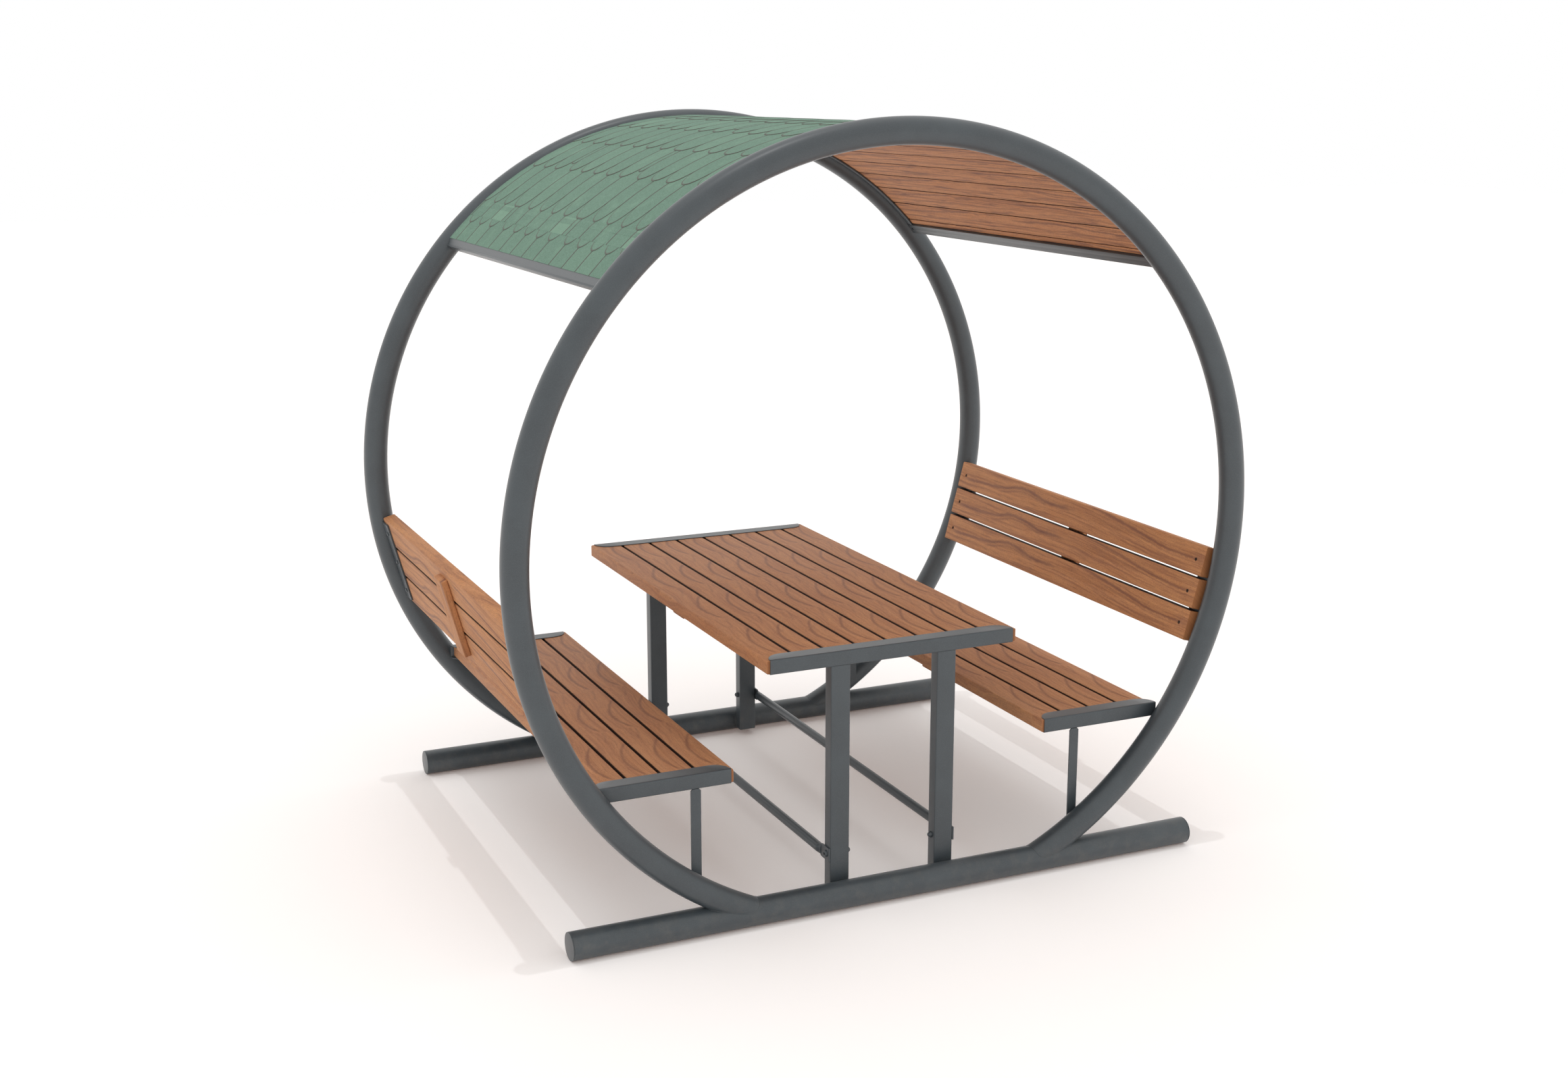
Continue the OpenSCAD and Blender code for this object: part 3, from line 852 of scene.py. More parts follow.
@dataclass(frozen=True)
class Streak:
    """A dark line of grain: places along and across a slat, its reach and its strength."""

    path: tuple[tuple[float, float], ...]
    width: float
    strength: float


@dataclass(frozen=True)
class Figure:
    """The grain that every slat of a row shares.

    Attributes:
        streaks: Dark lines of grain.
        bend: How much the fine grain follows the first streak.
        dashes: Strength of the short dark dashes.
        plumes: Strength of the long dark patches.
        start: Where a figure that comes again starts along the slat.
        repeat: Length after which it comes again, or zero for a figure that comes once.
    """

    streaks: tuple[Streak, ...]
    bend: float
    dashes: float
    plumes: float
    start: float = 0.0
    repeat: float = 0.0


ARCHED = Figure(
    streaks=(
        Streak((
            (0, 18), (22, 8), (55, -1), (105, -6), (150, -4), (188, 5), (220, 17), (250, 31), (285, 50),
        ), 7.0, 0.62),
        Streak(((285, -4), (305, 0), (328, 8), (352, 12), (386, 18)), 5.0, 0.3),
    ),
    bend=0.3,
    dashes=0.2,
    plumes=0.1,
    start=-684.0,
    repeat=386.0,
)

LONG = Figure(
    streaks=(
        Streak((
            (-745, 1), (-620, 1), (-521, 6), (-410, 18), (-330, 27), (-268, 33), (-149, 43), (-60, 50),
        ), 6.5, 0.72),
        Streak((
            (-20, 9), (60, 10), (149, 8), (223, 17), (290, 23), (345, 22), (417, 9), (484, 1),
            (596, -5), (745, -10),
        ), 8.0, 0.8),
        Streak(((130, -4), (210, 6), (280, 12), (340, 10), (400, -3), (470, -14)), 5.0, 0.5),
        Streak(((-740, -13), (-640, -11), (-540, -6), (-430, 4), (-330, 12), (-230, 20)), 4.0, 0.4),
        Streak(((420, -28), (500, -22), (600, -24), (700, -30)), 3.0, 0.4),
        Streak(((-560, -30), (-440, -22), (-330, -16), (-220, -14)), 3.0, 0.35),
    ),
    bend=0.75,
    dashes=0.4,
    plumes=0.25,
)

BOARDED = Figure(
    streaks=(
        Streak((
            (-745, -10), (-620, -13), (-520, -17), (-420, -22), (-330, -24), (-230, -22), (-120, -26),
        ), 5.5, 0.8),
        Streak((
            (180, -34), (280, -30), (380, -24), (480, -17), (580, -12), (690, -9), (745, -9),
        ), 5.5, 0.75),
        Streak(((-700, -28), (-560, -33), (-430, -37), (-320, -43)), 4.0, 0.6),
        Streak(((-640, 14), (-520, 10), (-400, 12), (-280, 20)), 3.5, 0.45),
        Streak(((60, 12), (180, 6), (320, 8), (460, 16), (560, 22)), 3.5, 0.45),
    ),
    bend=0.6,
    dashes=0.55,
    plumes=0.65,
)


@dataclass(frozen=True)
class Tints:
    """The three shades that the timber of a row varies between."""

    base: Colour
    pale: Colour
    warm: Colour


# Painted light and shade: the level rows' and the backrests' tints are copies of one timber, each made
# lighter or darker for how light falls on that row.
LEVEL_LIT_TINTS = Tints(colour(187, 130, 91), colour(201, 144, 100), colour(195, 131, 82))
LEFT_LIT_TINTS = Tints(colour(190, 131, 87), colour(205, 145, 97), colour(199, 133, 79))
RIGHT_LIT_TINTS = Tints(colour(178, 121, 80), colour(200, 141, 92), colour(192, 127, 74))
ROOF_TINTS = Tints(colour(192, 132, 89), colour(214, 152, 104), colour(203, 135, 80))
HIDDEN_TINTS = Tints(colour(178, 122, 84), colour(192, 136, 94), colour(186, 124, 78))

GRAINS = {
    Lie.TABLE: (ARCHED, LEVEL_LIT_TINTS),
    Lie.LEFT_SEAT: (ARCHED, LEVEL_LIT_TINTS),
    Lie.RIGHT_SEAT: (ARCHED, LEVEL_LIT_TINTS),
    Lie.LEFT_BACKREST: (LONG, LEFT_LIT_TINTS),
    Lie.RIGHT_BACKREST: (LONG, RIGHT_LIT_TINTS),
    Lie.ROOF: (BOARDED, ROOF_TINTS),
    Lie.FLAT_BATTEN: (LONG, HIDDEN_TINTS),
    Lie.LEFT_BATTEN: (LONG, LEFT_LIT_TINTS),
    Lie.RIGHT_BATTEN: (LONG, RIGHT_LIT_TINTS),
}


@dataclass(frozen=True)
class Layer:
    """One layer of noise in the grain.

    It has its waves in each metre along and across the piece, how far the piece's own luck
    moves it, how many finer layers are added and how rough they are, and where it starts.
    """

    along: float
    across: float
    luck: float
    detail: float
    rough: float
    start: float = 0.0


@dataclass(frozen=True)
class Timber:
    """Oiled reddish brown hardwood, with the grain of one row of slats or boards."""

    lie: Lie
    figure: Figure
    tints: Tints
    dark: Colour = colour(118, 74, 58)
    end: Colour = colour(168, 108, 66)
    # deep: colour of the painted shade in the gaps between slats and between roof boards
    deep: Colour = colour(40, 25, 20)
    roughness: float = 0.58
    row_edge: float = 3.0
    gap_depth: tuple[float, float] = (0.0002, 0.0026)
    joint_depth: tuple[float, float] = (0.0008, 0.002)
    sway: Layer = Layer(4.8, 14.4, 4.8, 2.0, 0.5)
    wobble: Layer = Layer(40.0, 26.0, 6.0, 3.0, 0.65)
    fray: Layer = Layer(110.0, 240.0, 2.0, 2.0, 0.6)
    fibre: Layer = Layer(26.0, 520.0, 7.0, 3.0, 0.6)
    hair: Layer = Layer(130.0, 640.0, 3.0, 2.0, 0.5)
    peel: Layer = Layer(190.0, 260.0, 8.0, 2.0, 0.55)
    plume: Layer = Layer(7.5, 75.0, 11.0, 2.0, 0.5)
    bands: Layer = Layer(2.6, 110.0, 5.0, 3.0, 0.55)
    dash: Layer = Layer(9.0, 420.0, 9.0, 1.0, 0.4, start=4.0)
    mottle: Layer = Layer(14.0, 30.0, 1.0, 2.0, 0.5)

    def _local(self, x: Value, y: Value, z: Value) -> tuple[Value, Value, Value, Value]:
        """Finds a place's position on its slat or board.

        A level row counts slats by X, a backrest by the height along its lean, and the roof by
        the angle about the rings' axis. The fraction of that count is the place across.

        Args:
            x: The place's X, in metres.
            y: Its Y.
            z: Its Z.

        Returns:
            The slat's number, and the distances along, across and into the slat, in metres.
        """
        pitch = PLAN.slat_pitch * MM
        if self.lie.is_level_slat:
            shift = self.lie.sign * (0.5 - PLAN.seat_slats()[0] / PLAN.slat_pitch % 1)
            under = PLAN.table_under_z if self.lie is Lie.TABLE else PLAN.seat_under_z
            top = (under + PLAN.sheet_t + PLAN.slat_t) * MM
            count = x / pitch + float(shift)
            return count.floor(), y, (count.fraction() - 0.5) * pitch, top - z
        if self.lie is Lie.ROOF:
            out = z - PLAN.centre_z * MM
            turn = math.radians(PLAN.board_pitch)
            count = x.graph.math("ARCTAN2", x, out) / turn + 0.5
            depth = (x * x + out * out).root() - PLAN.ring_r * MM
            return count.floor(), y, (count.fraction() - 0.5) * (PLAN.ring_r * MM * turn), depth
        if self.lie is Lie.FLAT_BATTEN:
            return x * 0.0, x, y, z
        lean = math.radians(PLAN.lean)
        high = z - PLAN.centre_z * MM
        up = x * (self.lie.sign * math.sin(lean)) + high * math.cos(lean)
        out = x * (self.lie.sign * math.cos(lean)) - high * math.sin(lean) - PLAN.backrest_face * MM
        if self.lie.is_batten:
            return x * 0.0, up, y, out
        count = up / pitch + 0.5
        return count.floor(), y, (count.fraction() - 0.5) * pitch, out

    @staticmethod
    def _line(streak: Streak, along: Value, across: Value) -> tuple[Value, Value]:
        """Draws one streak.

        The streak's path gives a height across the slat for each place along it, and the line
        is darkest there and fades over its width and towards its two ends.

        Args:
            streak: The streak.
            along: Distance along the figure, in metres.
            across: Distance across the slat, in metres.

        Returns:
            The line's strength and the height of its path, in metres.
        """
        first, last = streak.path[0][0], streak.path[-1][0]
        span, reach = last - first, 120.0
        path = [((a - first) / span, b / reach + 0.5) for a, b in streak.path]
        share = (along / MM - first) / span
        curve = along.graph.value("ShaderNodeFloatCurve", {"path": path}, {"Value": share})
        height = (curve - 0.5) * (reach * MM)
        line = 1.0 - abs(across - height).rise(0.0, streak.width * 1.3 * MM)
        ends = share.rise(-0.002, 0.1) * (1.0 - share.rise(0.88, 1.002))
        return line * ends * streak.strength, height

    def _marks(self, along: Value, across: Value) -> tuple[Value, Value]:
        """Draws all streaks of the figure, where the darkest line wins.

        Args:
            along: Distance along the slat, in metres.
            across: Distance across it, in metres.

        Returns:
            The lines' strength and the height of the first streak's path, in metres.
        """
        if self.figure.repeat:
            turn = (along / MM - self.figure.start) / self.figure.repeat
            along = turn.fraction() * (self.figure.repeat * MM)
        lines = [self._line(streak, along, across) for streak in self.figure.streaks]
        marks, follow = lines[0]
        for line, _ in lines[1:]:
            marks = marks.largest(line)
        return marks, follow

    def _gap(self, x: Value, number: Value, across: Value, into: Value) -> Number:
        """Works out the painted shade in the gap between two pieces.

        The painted shade rises with the depth under the upper face. It stays off the outer faces of a
        level row, and on a backrest it keeps to the slats' edges at the two gaps.

        Args:
            x: The place's X, in metres.
            number: The slat's number.
            across: Distance across the slat, in metres.
            into: Depth under its upper face, in metres.

        Returns:
            The painted shade, from 0 to 1.
        """
        if self.lie.is_level_slat:
            row = PLAN.table_slats() if self.lie is Lie.TABLE else PLAN.seat_slats() * self.lie.sign
            reach = float(np.ptp(row)) / 2 + PLAN.slat_half - self.row_edge
            off_middle = abs(x - float(row.mean()) * MM)
            inward = 1.0 - off_middle.rise(reach * MM, (reach + 1) * MM)
            return into.rise(*self.gap_depth) * inward * 0.96
        if self.lie.is_backrest:
            pitch, half = PLAN.slat_pitch * MM, PLAN.slat_half * MM
            near = 1.0 - abs(number * pitch + across).rise(pitch * 0.6, pitch * 0.61)
            edge = abs(across).rise(half - 0.001, half - 0.0002)
            return into.rise(*self.gap_depth) * (near * edge) * 0.9
        if self.lie is Lie.ROOF:
            return into.rise(*self.joint_depth) * 0.97
        return 0.0

    def _cut_end(self, graph: Graph) -> Number:
        """Finds the sawn ends of slats and boards, which face along Y.

        Args:
            graph: The material's nodes.

        Returns:
            One on the ends and zero elsewhere.
        """
        if self.lie.is_batten:
            return 0.0
        face = graph.node("ShaderNodeNewGeometry").outputs["Normal"]
        return abs(graph.value("ShaderNodeSeparateXYZ", None, {0: face}, 1)).rise(0.7, 0.95)

    def build(self) -> Material:
        """Returns the material: fine fibres, dark figure, short dashes and darker end grain."""
        material = bpy.data.materials.new(f"timber_{self.lie.value.replace(' ', '_')}")
        graph = Graph(material)
        x, y, z = graph.place()
        number, along, across, into = self._local(x, y, z)
        luck = graph.chance(number)
        along = along + (luck - 0.5) * 0.012
        rolled = across + into * 0.7

        def noise(layer: Layer, height: Value) -> Value:
            """Returns one layer of noise at a height across the piece."""
            place = (along * layer.along, height * layer.across, luck * layer.luck + layer.start)
            return graph.noise(graph.vector(*place), 1.0, layer.detail, layer.rough)

        calm = rolled + (noise(self.sway, rolled) - 0.5) * 0.012
        wobble = noise(self.wobble, rolled) - 0.5
        level = calm + wobble * 0.007
        marks, follow = self._marks(along, level + (noise(self.fray, rolled) - 0.5) * 0.007)
        grain = calm + wobble * 0.0025 - follow * self.figure.bend
        fibre = noise(self.fibre, grain)
        hair = noise(self.hair, grain)
        peel = noise(self.peel, level)
        plume = noise(self.plume, grain)
        bands = noise(self.bands, grain)
        dash = noise(self.dash, grain)
        mottle = noise(self.mottle, level)
        tint = graph.paint(
            self.tints.base,
            (bands.rise(0.35, 0.65), self.tints.pale),
            (mottle.rise(0.45, 0.75) * 0.35, self.tints.warm),
            ((1.0 - fibre).rise(0.4, 0.75) * 0.28, self.dark),
            ((1.0 - hair).rise(0.5, 0.72) * 0.26, self.dark),
            ((1.0 - peel).rise(0.48, 0.7) * 0.24, self.dark),
            (peel.rise(0.55, 0.75) * 0.3, self.tints.pale),
            (plume.rise(0.54, 0.7) * self.figure.plumes, self.dark),
            ((1.0 - bands).rise(0.52, 0.68) * self.figure.dashes * 0.7, self.dark),
            (dash.rise(0.62, 0.74) * self.figure.dashes, self.dark),
            (marks * (0.25 + fibre * 0.7 + mottle * 0.6), self.dark),
            ((luck - 0.5).largest(0.0) * 0.14, self.tints.pale),
            # painted shade in the gaps between slats and between roof boards
            (self._gap(x, number, across, into), self.deep),
            (self._cut_end(graph) * 0.7, self.end),
        )
        graph.finish({
            "Base Color": tint,
            "Roughness": self.roughness + fibre * 0.14 - marks * 0.05,
            "Specular IOR Level": 0.4,
            "Normal": graph.bump(fibre * 0.6 + hair * 0.5 - marks * 0.3, 0.35, 0.0004),
        })
        return material


@dataclass(frozen=True)
class StoneFelt:
    """Green stone granules on bitumen, with a painted brownish shadow line along the shingles' edges."""

    name: str = "green_shingle_granules"
    base: Colour = colour(112, 143, 127)
    pale: Colour = colour(136, 172, 148)
    deep: Colour = colour(98, 128, 111)
    # rim: colour of the painted shadow line along the shingles' edges, also laid over the underlay
    rim: Colour = colour(98, 97, 91)
    # cut: bitumen of the cut edges, painted lighter to offset the shade that falls on them
    cut: Colour = colour(140, 134, 124)
    rim_w: float = 3.4
    stone_depth: float = 0.0006

    def build(self) -> Material:
        """Returns the material.

        The UV map holds a place's distance to the side edge of its shingle and to its rounded
        end, in metres, so the smaller of the two gives the rim where a shadow line is painted.
        The cut edges lie below zero; their bitumen colour is painted lighter to offset the shade
        on them.
        """
        material = bpy.data.materials.new(self.name)
        graph = Graph(material)
        spread = graph.node("ShaderNodeUVMap", {"uv_map": "Spread"})
        split = graph.node("ShaderNodeSeparateXYZ", None, {0: spread.outputs[0]})
        near = Value(graph, split.outputs[0]).smallest(Value(graph, split.outputs[1]) * 0.6)
        tone = graph.value("ShaderNodeAttribute", {"attribute_name": "tone"}, None, "Fac")
        where = graph.vector(*graph.place())
        cell = graph.node("ShaderNodeTexVoronoi", None, {"Vector": where, "Scale": 420.0})
        stones = graph.value("ShaderNodeSeparateColor", None, {0: cell.outputs["Color"]})
        grit = graph.noise(where, 900.0, 2.0, 0.6)
        cloud = graph.noise(where, 14.0, 3.0, 0.6)
        ragged = near + (grit - 0.5) * 0.0016
        # painted shadow line along the shingles' edges
        bare = 1.0 - ragged.rise(self.rim_w * MM * 0.4, self.rim_w * MM * 1.2)
        tint = graph.paint(
            self.deep,
            (stones.rise(0.1, 0.9), self.base),
            (grit.rise(0.5, 0.8) * 0.5, self.pale),
            ((cloud - 0.5).rise(0.0, 0.3) * 0.3, self.pale),
            ((tone - 0.5).largest(0.0) * 0.8, self.pale),
            ((0.5 - tone).largest(0.0) * 0.6, self.deep),
            (bare * 0.9, self.rim),
            # cut edges: bare bitumen, painted lighter to offset their shade
            (1.0 - near.rise(-0.003, -0.0002), self.cut),
        )
        graph.finish({
            "Base Color": tint,
            "Roughness": 0.8 + grit * 0.1,
            "Specular IOR Level": 0.4,
            "Normal": graph.bump(grit + stones * 0.7, 0.5, self.stone_depth),
        })
        return material


# Steel


class SteelPiece(ABC):
    """A powder coated piece, made of closed skins.

    Its title is its name, and its solid is the node that it stands for, or empty. A field's
    name in braces stands there for the field's word.
    """

    title: str
    solid: str = ""
    ease: float = 0.0

    @abstractmethod
    def skins(self) -> list[Shell]:
        """Returns the piece's closed skins."""

    def build(self, coat: Material) -> None:
        """Makes the piece and dresses it.

        Args:
            coat: The powder coat.
        """
        words = {key: getattr(given, "word", given) for key, given in vars(self).items()}
        nodes = [self.solid.format(**words)] if self.solid else []
        add_piece(self.title.format(**words), self.skins(), coat, Slot.STEEL, nodes, self.ease)


@dataclass
class RingTube(SteelPiece):
    """One ring: a tube rolled to an arc, coped at both ends to sit on its ground tube."""

    title = "{end}_ring_tube"
    solid = "{end}_ring"
    end: End
    round_steps: int = 56
    arc_steps: int = 240
    bore_steps: int = 60
    sink: float = 1.0
    weld: Weld = Weld(1.7)
    weld_depth: float = 0.8
    weld_steps: int = 96

    def reach(self, section: Array, radius: float, ground: float) -> Array:
        """Gives the angle below the horizontal at which lines of the skin meet the ground tube.

        A line of the skin runs at the ring's radius plus the section radius times the cosine of
        the section angle. It meets the ground tube where its height over that tube's axis is
        the root of the tube's radius squared less the line's distance from the ring's middle
        plane squared.

        Args:
            section: Angles round the tube's section, in radians.
            radius: Radius of the skin's section.
            ground: Radius of the ground tube.

        Returns:
            The angles, in radians.
        """
        line = PLAN.ring_r + radius * np.cos(section)
        height = np.sqrt(ground**2 - (radius * np.sin(section)) ** 2)
        return np.arcsin((PLAN.centre_z - PLAN.ground_z - height) / line)

    def skin(self, radius: float, steps: int) -> Array:
        """Gives the rings of one skin, from the right end over the top to the left end.

        A point is the ring's centre plus its line's radius times the cosine and sine of an arc
        angle that runs evenly between the two meeting angles of that line.

        Args:
            radius: Radius of the skin's section.
            steps: Rings along the arc.

        Returns:
            Rings of points.
        """
        section = np.arange(self.round_steps) * 2 * np.pi / self.round_steps
        reach = self.reach(section, radius, PLAN.ground_r - self.sink)
        share = np.linspace(0, 1, steps)[:, None]
        arc = -reach + share * (np.pi + 2 * reach)
        line = PLAN.ring_r + radius * np.cos(section)
        side_y = np.broadcast_to(self.end.value * (PLAN.ring_y + radius * np.sin(section)), arc.shape)
        return np.stack([line * np.cos(arc), side_y, PLAN.centre_z + line * np.sin(arc)], -1)

    def skins(self) -> list[Shell]:
        """Returns the tube with its bore."""
        outer = self.skin(PLAN.ring_tube_r, self.arc_steps)
        bore = self.skin(PLAN.ring_tube_r - PLAN.ring_wall, self.bore_steps)[::-1]
        return [loft(np.concatenate([outer, bore]), closed=True)]

    def seams(self) -> list[Shell]:
        """Returns the weld seams where the ring meets its ground tube."""
        section = np.linspace(0, 2 * np.pi, self.weld_steps, endpoint=False)
        radius = PLAN.ring_tube_r - self.weld_depth
        reach = self.reach(section, radius, PLAN.ground_r)
        line = PLAN.ring_r + radius * np.cos(section)
        side_y = self.end.value * (PLAN.ring_y + radius * np.sin(section))
        down = math.asin((PLAN.centre_z - PLAN.ground_z) / PLAN.ring_r)
        made = []
        for side in Side:
            side_x = side.value * line * np.cos(reach)
            path = np.stack([side_x, side_y, PLAN.centre_z - line * np.sin(reach)], -1)
            along = (side.value * math.sin(down), 0.0, math.cos(down))
            made.append(self.weld.lay(path, along, closed=True))
        return made


@dataclass
class GroundTube(SteelPiece):
    """One tube on the ground, with a small slope at the rims of its ends."""

    title = "{end}_ground_tube_skin"
    solid = "{end}_ground_tube"
    end: End
    wall: float = 3.0
    rim: float = 0.7
    round_steps: int = 64

    def skins(self) -> list[Shell]:
        """Returns the tube: its profile runs along the outer skin and back along the bore."""
        half = PLAN.ground_half - PLAN.cap_t
        outer, bore = PLAN.ground_r, PLAN.ground_r - self.wall
        profile = np.array([
            [-half, bore], [-half, outer - self.rim], [-half + self.rim, outer], [0, outer],
            [half - self.rim, outer], [half, outer - self.rim], [half, bore], [0, bore],
        ], float)
        axis = Axis((0.0, self.end.value * PLAN.ring_y, PLAN.ground_z), (1.0, 0.0, 0.0))
        return [turned(profile, axis, self.round_steps, closed=True)]


@dataclass
class GroundCaps(SteelPiece):
    """The four discs that close the ground tubes, each with a rounded rim."""

    title = "ground_tube_discs"
    solid = "ground_tube_end_caps"
    rim: float = 1.1
    slope: float = 0.5
    round_steps: int = 64

    def skins(self) -> list[Shell]:
        """Returns the discs, whose rim is a quarter circle turned about the tube's axis."""
        outer = PLAN.ground_r
        turn = np.linspace(0, np.pi / 2, 5)
        edge = np.stack([
            PLAN.cap_t - self.rim + self.rim * np.sin(turn), outer - self.rim + self.rim * np.cos(turn),
        ], -1)
        inner = [[0, 0], [0, outer - self.rim], [self.slope, outer]]
        profile = np.vstack([inner, edge, [[PLAN.cap_t, 0]]])
        inner_x = PLAN.ground_half - PLAN.cap_t
        return [
            turned(profile, Axis(
                (side.value * inner_x, end.value * PLAN.ring_y, PLAN.ground_z), (side.value, 0.0, 0.0),
            ), self.round_steps)
            for side in Side for end in End
        ]


@dataclass
class TablePost(SteelPiece):
    """A box section post with rolled corners and a closed foot."""

    title = "{end}_{side}_post_box"
    solid = "{end}_{side}_post"
    end: End
    side: Side
    wall: float = 3.0
    corner: float = 4.0
    corner_steps: int = 6
    foot_ease: float = 0.8

    def skins(self) -> list[Shell]:
        """Returns the post.

        The rings run up the outer section, over the open top, and down the inner section to
        the floor of the post's foot.
        """
        width = PLAN.post_out_x - PLAN.post_in_x
        deep = PLAN.post_face_y - PLAN.post_in_y
        outer = rounded_box(width, deep, self.corner, self.corner_steps)
        inner = rounded_box(
            width - 2 * self.wall, deep - 2 * self.wall, self.corner - self.wall, self.corner_steps
        )
        foot, top, ease = PLAN.post_foot_z, PLAN.table_under_z, self.foot_ease
        middle_x = self.side.value * (PLAN.post_out_x + PLAN.post_in_x) / 2
        middle = np.array([middle_x, self.end.value * PLAN.post_y, 0.0])
        heights = np.array([foot, foot + ease, top, top, foot + self.wall])
        outlines = np.array([inset(outer, ease), outer, outer, inner, inner])
        path = middle + heights[:, None] * np.array([0.0, 0.0, 1.0])
        return [loft(carry(outlines, path, (1, 0, 0), (0, 1, 0)))]


@dataclass
class EndChannel(SteelPiece):
    """Sheet folded to a channel over the slats' ends, with rounded lip corners."""

    title = "{node}_sheet"
    solid = "{node}"
    node: str
    end: End
    first_x: float
    last_x: float
    under_z: float
    lip_w: float = 52.0
    lip_corner: float = 49.0
    bend_r: float = 3.6
    support: float = 1.0
    fold_steps: int = 6
    lip_steps: int = 14
    stations: int = 9
    ease: float = 0.5

    def profile(self, depth: float) -> Array:
        """Gives half of the folded sheet's section, from the lip's free edge to the web.

        Rows hold the distance from the web's outer face and the height over the underside.
        The lip runs straight at the skin's depth under the sheet's face, and the fold is a
        quarter circle about the fold's centre.

        Args:
            depth: How deep in the sheet the skin lies.

        Returns:
            Points from the free edge to the web's middle.
        """
        turn = np.linspace(0, np.pi / 2, self.lip_steps)
        lip = self.lip_w - self.lip_corner * (1 - np.sin(turn[::-1]))
        lip = np.append(lip, self.bend_r + self.support)
        flat = np.stack([lip, np.full_like(lip, depth)], -1)
        sweep = np.linspace(0, np.pi / 2, self.fold_steps + 1)
        radius = self.bend_r - depth
        fold = np.stack([self.bend_r - radius * np.sin(sweep), self.bend_r - radius * np.cos(sweep)], -1)
        return np.vstack([flat, fold])

    def skins(self) -> list[Shell]:
        """Returns the channel.

        Each row of the sheet runs from the first to the last X, drawn in at the lips' free
        corners by their radius less the cosine leg of the corner's circle.
        """
        height = PLAN.slat_t + 2 * PLAN.sheet_t
        faces = []
        for depth in (0.0, PLAN.sheet_t):
            low = self.profile(depth)
            high = low[::-1] * [1, -1] + [0, height]
            faces.append(np.vstack([low, high]))
        section = np.vstack([faces[0], faces[1][::-1]])
        past = np.clip(section[:, 0] - (self.lip_w - self.lip_corner), 0, self.lip_corner)
        drawn = self.lip_corner - np.sqrt(self.lip_corner**2 - past**2)
        share = np.linspace(0, 1, self.stations)[:, None]
        along = self.first_x + drawn + share * (self.last_x - self.first_x - 2 * drawn)
        side_y = np.broadcast_to(self.end.value * (PLAN.inner_y - section[:, 0]), along.shape)
        level = np.broadcast_to(self.under_z + section[:, 1], along.shape)
        shell = loft(np.stack([along, side_y, level], -1), first_cap=False, last_cap=False)
        count, half = len(section), len(faces[0])
        strips = [
            [base + j, base + j + 1, base + count - 2 - j, base + count - 1 - j]
            for base in (0, (self.stations - 1) * count) for j in range(half - 1)
        ]
        return [Shell(shell.points, shell.faces + strips)]


@dataclass
class Brace(SteelPiece):
    """A round tube between two posts, with crimped ends on plates that are bolted to the posts."""

    title = "{side}_brace_tube"
    solid = "{side}_brace"
    side: Side
    tube_r: float = 14.0
    middle_x: float = 201.5
    tube_end: float = 689.5
    crimp: float = 17.0
    crimp_half: float = 4.6
    crimp_rise: float = 2.4
    end_half: float = 2.0
    lap: float = 13.0
    plate_w: float = 40.0
    plate_end: float = 741.5
    plate_ease: float = 0.5

    def tube(self) -> Shell:
        """Makes the tube.

        Its section is a circle along the middle. Over the crimp it turns into a narrow ellipse:
        the half thickness falls and the half height rises with a smooth step of the distance.
        """
        share = np.linspace(0, 1, 6)
        ramp = share * share * (3 - 2 * share)
        half = np.append(self.tube_end - self.crimp + share * self.crimp, self.tube_end)
        thick = np.append(self.tube_r + ramp * (self.crimp_half - self.tube_r), self.end_half)
        high = np.append(self.tube_r + ramp * self.crimp_rise, self.tube_r)
        scale = np.stack([thick, high], -1)
        outlines = circle(1.0, 32) * np.concatenate([scale[::-1], scale])[:, None, :]
        middle_x = self.side.value * self.middle_x
        path = np.array([[middle_x, y, PLAN.brace_z] for y in (*-half[::-1], *half)])
        return loft(carry(outlines, path, (1, 0, 0), (0, 0, 1)))

    def plate(self, end: End) -> Shell:
        """Makes one plate, with a half round inner end about the plate's own middle line.

        Args:
            end: The plate's end of the brace.

        Returns:
            The skin of the plate.
        """
        radius = self.plate_w / 2
        turn = np.radians(np.linspace(90, 270, 25))
        centre = self.tube_end - self.lap + radius
        outline = np.vstack([
            np.stack([centre + radius * np.cos(turn), radius * np.sin(turn)], -1),
            [[self.plate_end, -radius], [self.plate_end, radius]],
        ])
        faces = [
            (self.side.value * (self.middle_x + half * PLAN.brace_plate_t / 2), 0.0, PLAN.brace_z)
            for half in (-1, 1)
        ]
        return bar(outline, faces[0], faces[1], (0, end.value, 0), (0, 0, 1), self.plate_ease)

    def skins(self) -> list[Shell]:
        """Returns the tube and its two plates."""
        return [self.tube(), self.plate(End.FRONT), self.plate(End.BACK)]


def brace_axes(start_x: float, out: int) -> list[Axis]:
    """Returns the axes of the four brace bolts or nuts, which point outwards (1) or inwards (-1)."""
    return [
        Axis((side.value * start_x, end.value * PLAN.post_y, PLAN.brace_z), (side.value * out, 0.0, 0.0))
        for side in Side for end in End
    ]


@dataclass
class BraceBolts(SteelPiece):
    """The braces' four bolts, with a round head and a six-sided key recess."""

    title = "brace_bolts_domed"
    solid = "brace_bolts"
    length: float = 71.0
    shank_r: float = 5.0
    head_r: float = 10.5
    key_r: float = 4.62
    round_steps: int = 36

    def skins(self) -> list[Shell]:
        """Returns the bolts, turned about axes through the posts."""
        profile = np.array([
            [-self.length, 0.0], [-self.length, self.shank_r], [0.0, self.shank_r], [0.0, self.head_r],
            [1.4, self.head_r], [2.6, 10.1], [3.7, 9.2], [4.6, 7.9], [5.2, 6.5], [5.5, 5.6],
            [5.5, 5.4], [5.2, self.key_r], [1.2, self.key_r], [1.0, 0.0],
        ])
        cut = [0.0] * 11 + [1.0, 1.0, 0.0]
        axes = brace_axes(PLAN.post_out_x + PLAN.brace_plate_t, 1)
        return [turned(profile, axis, self.round_steps, 6, cut) for axis in axes]


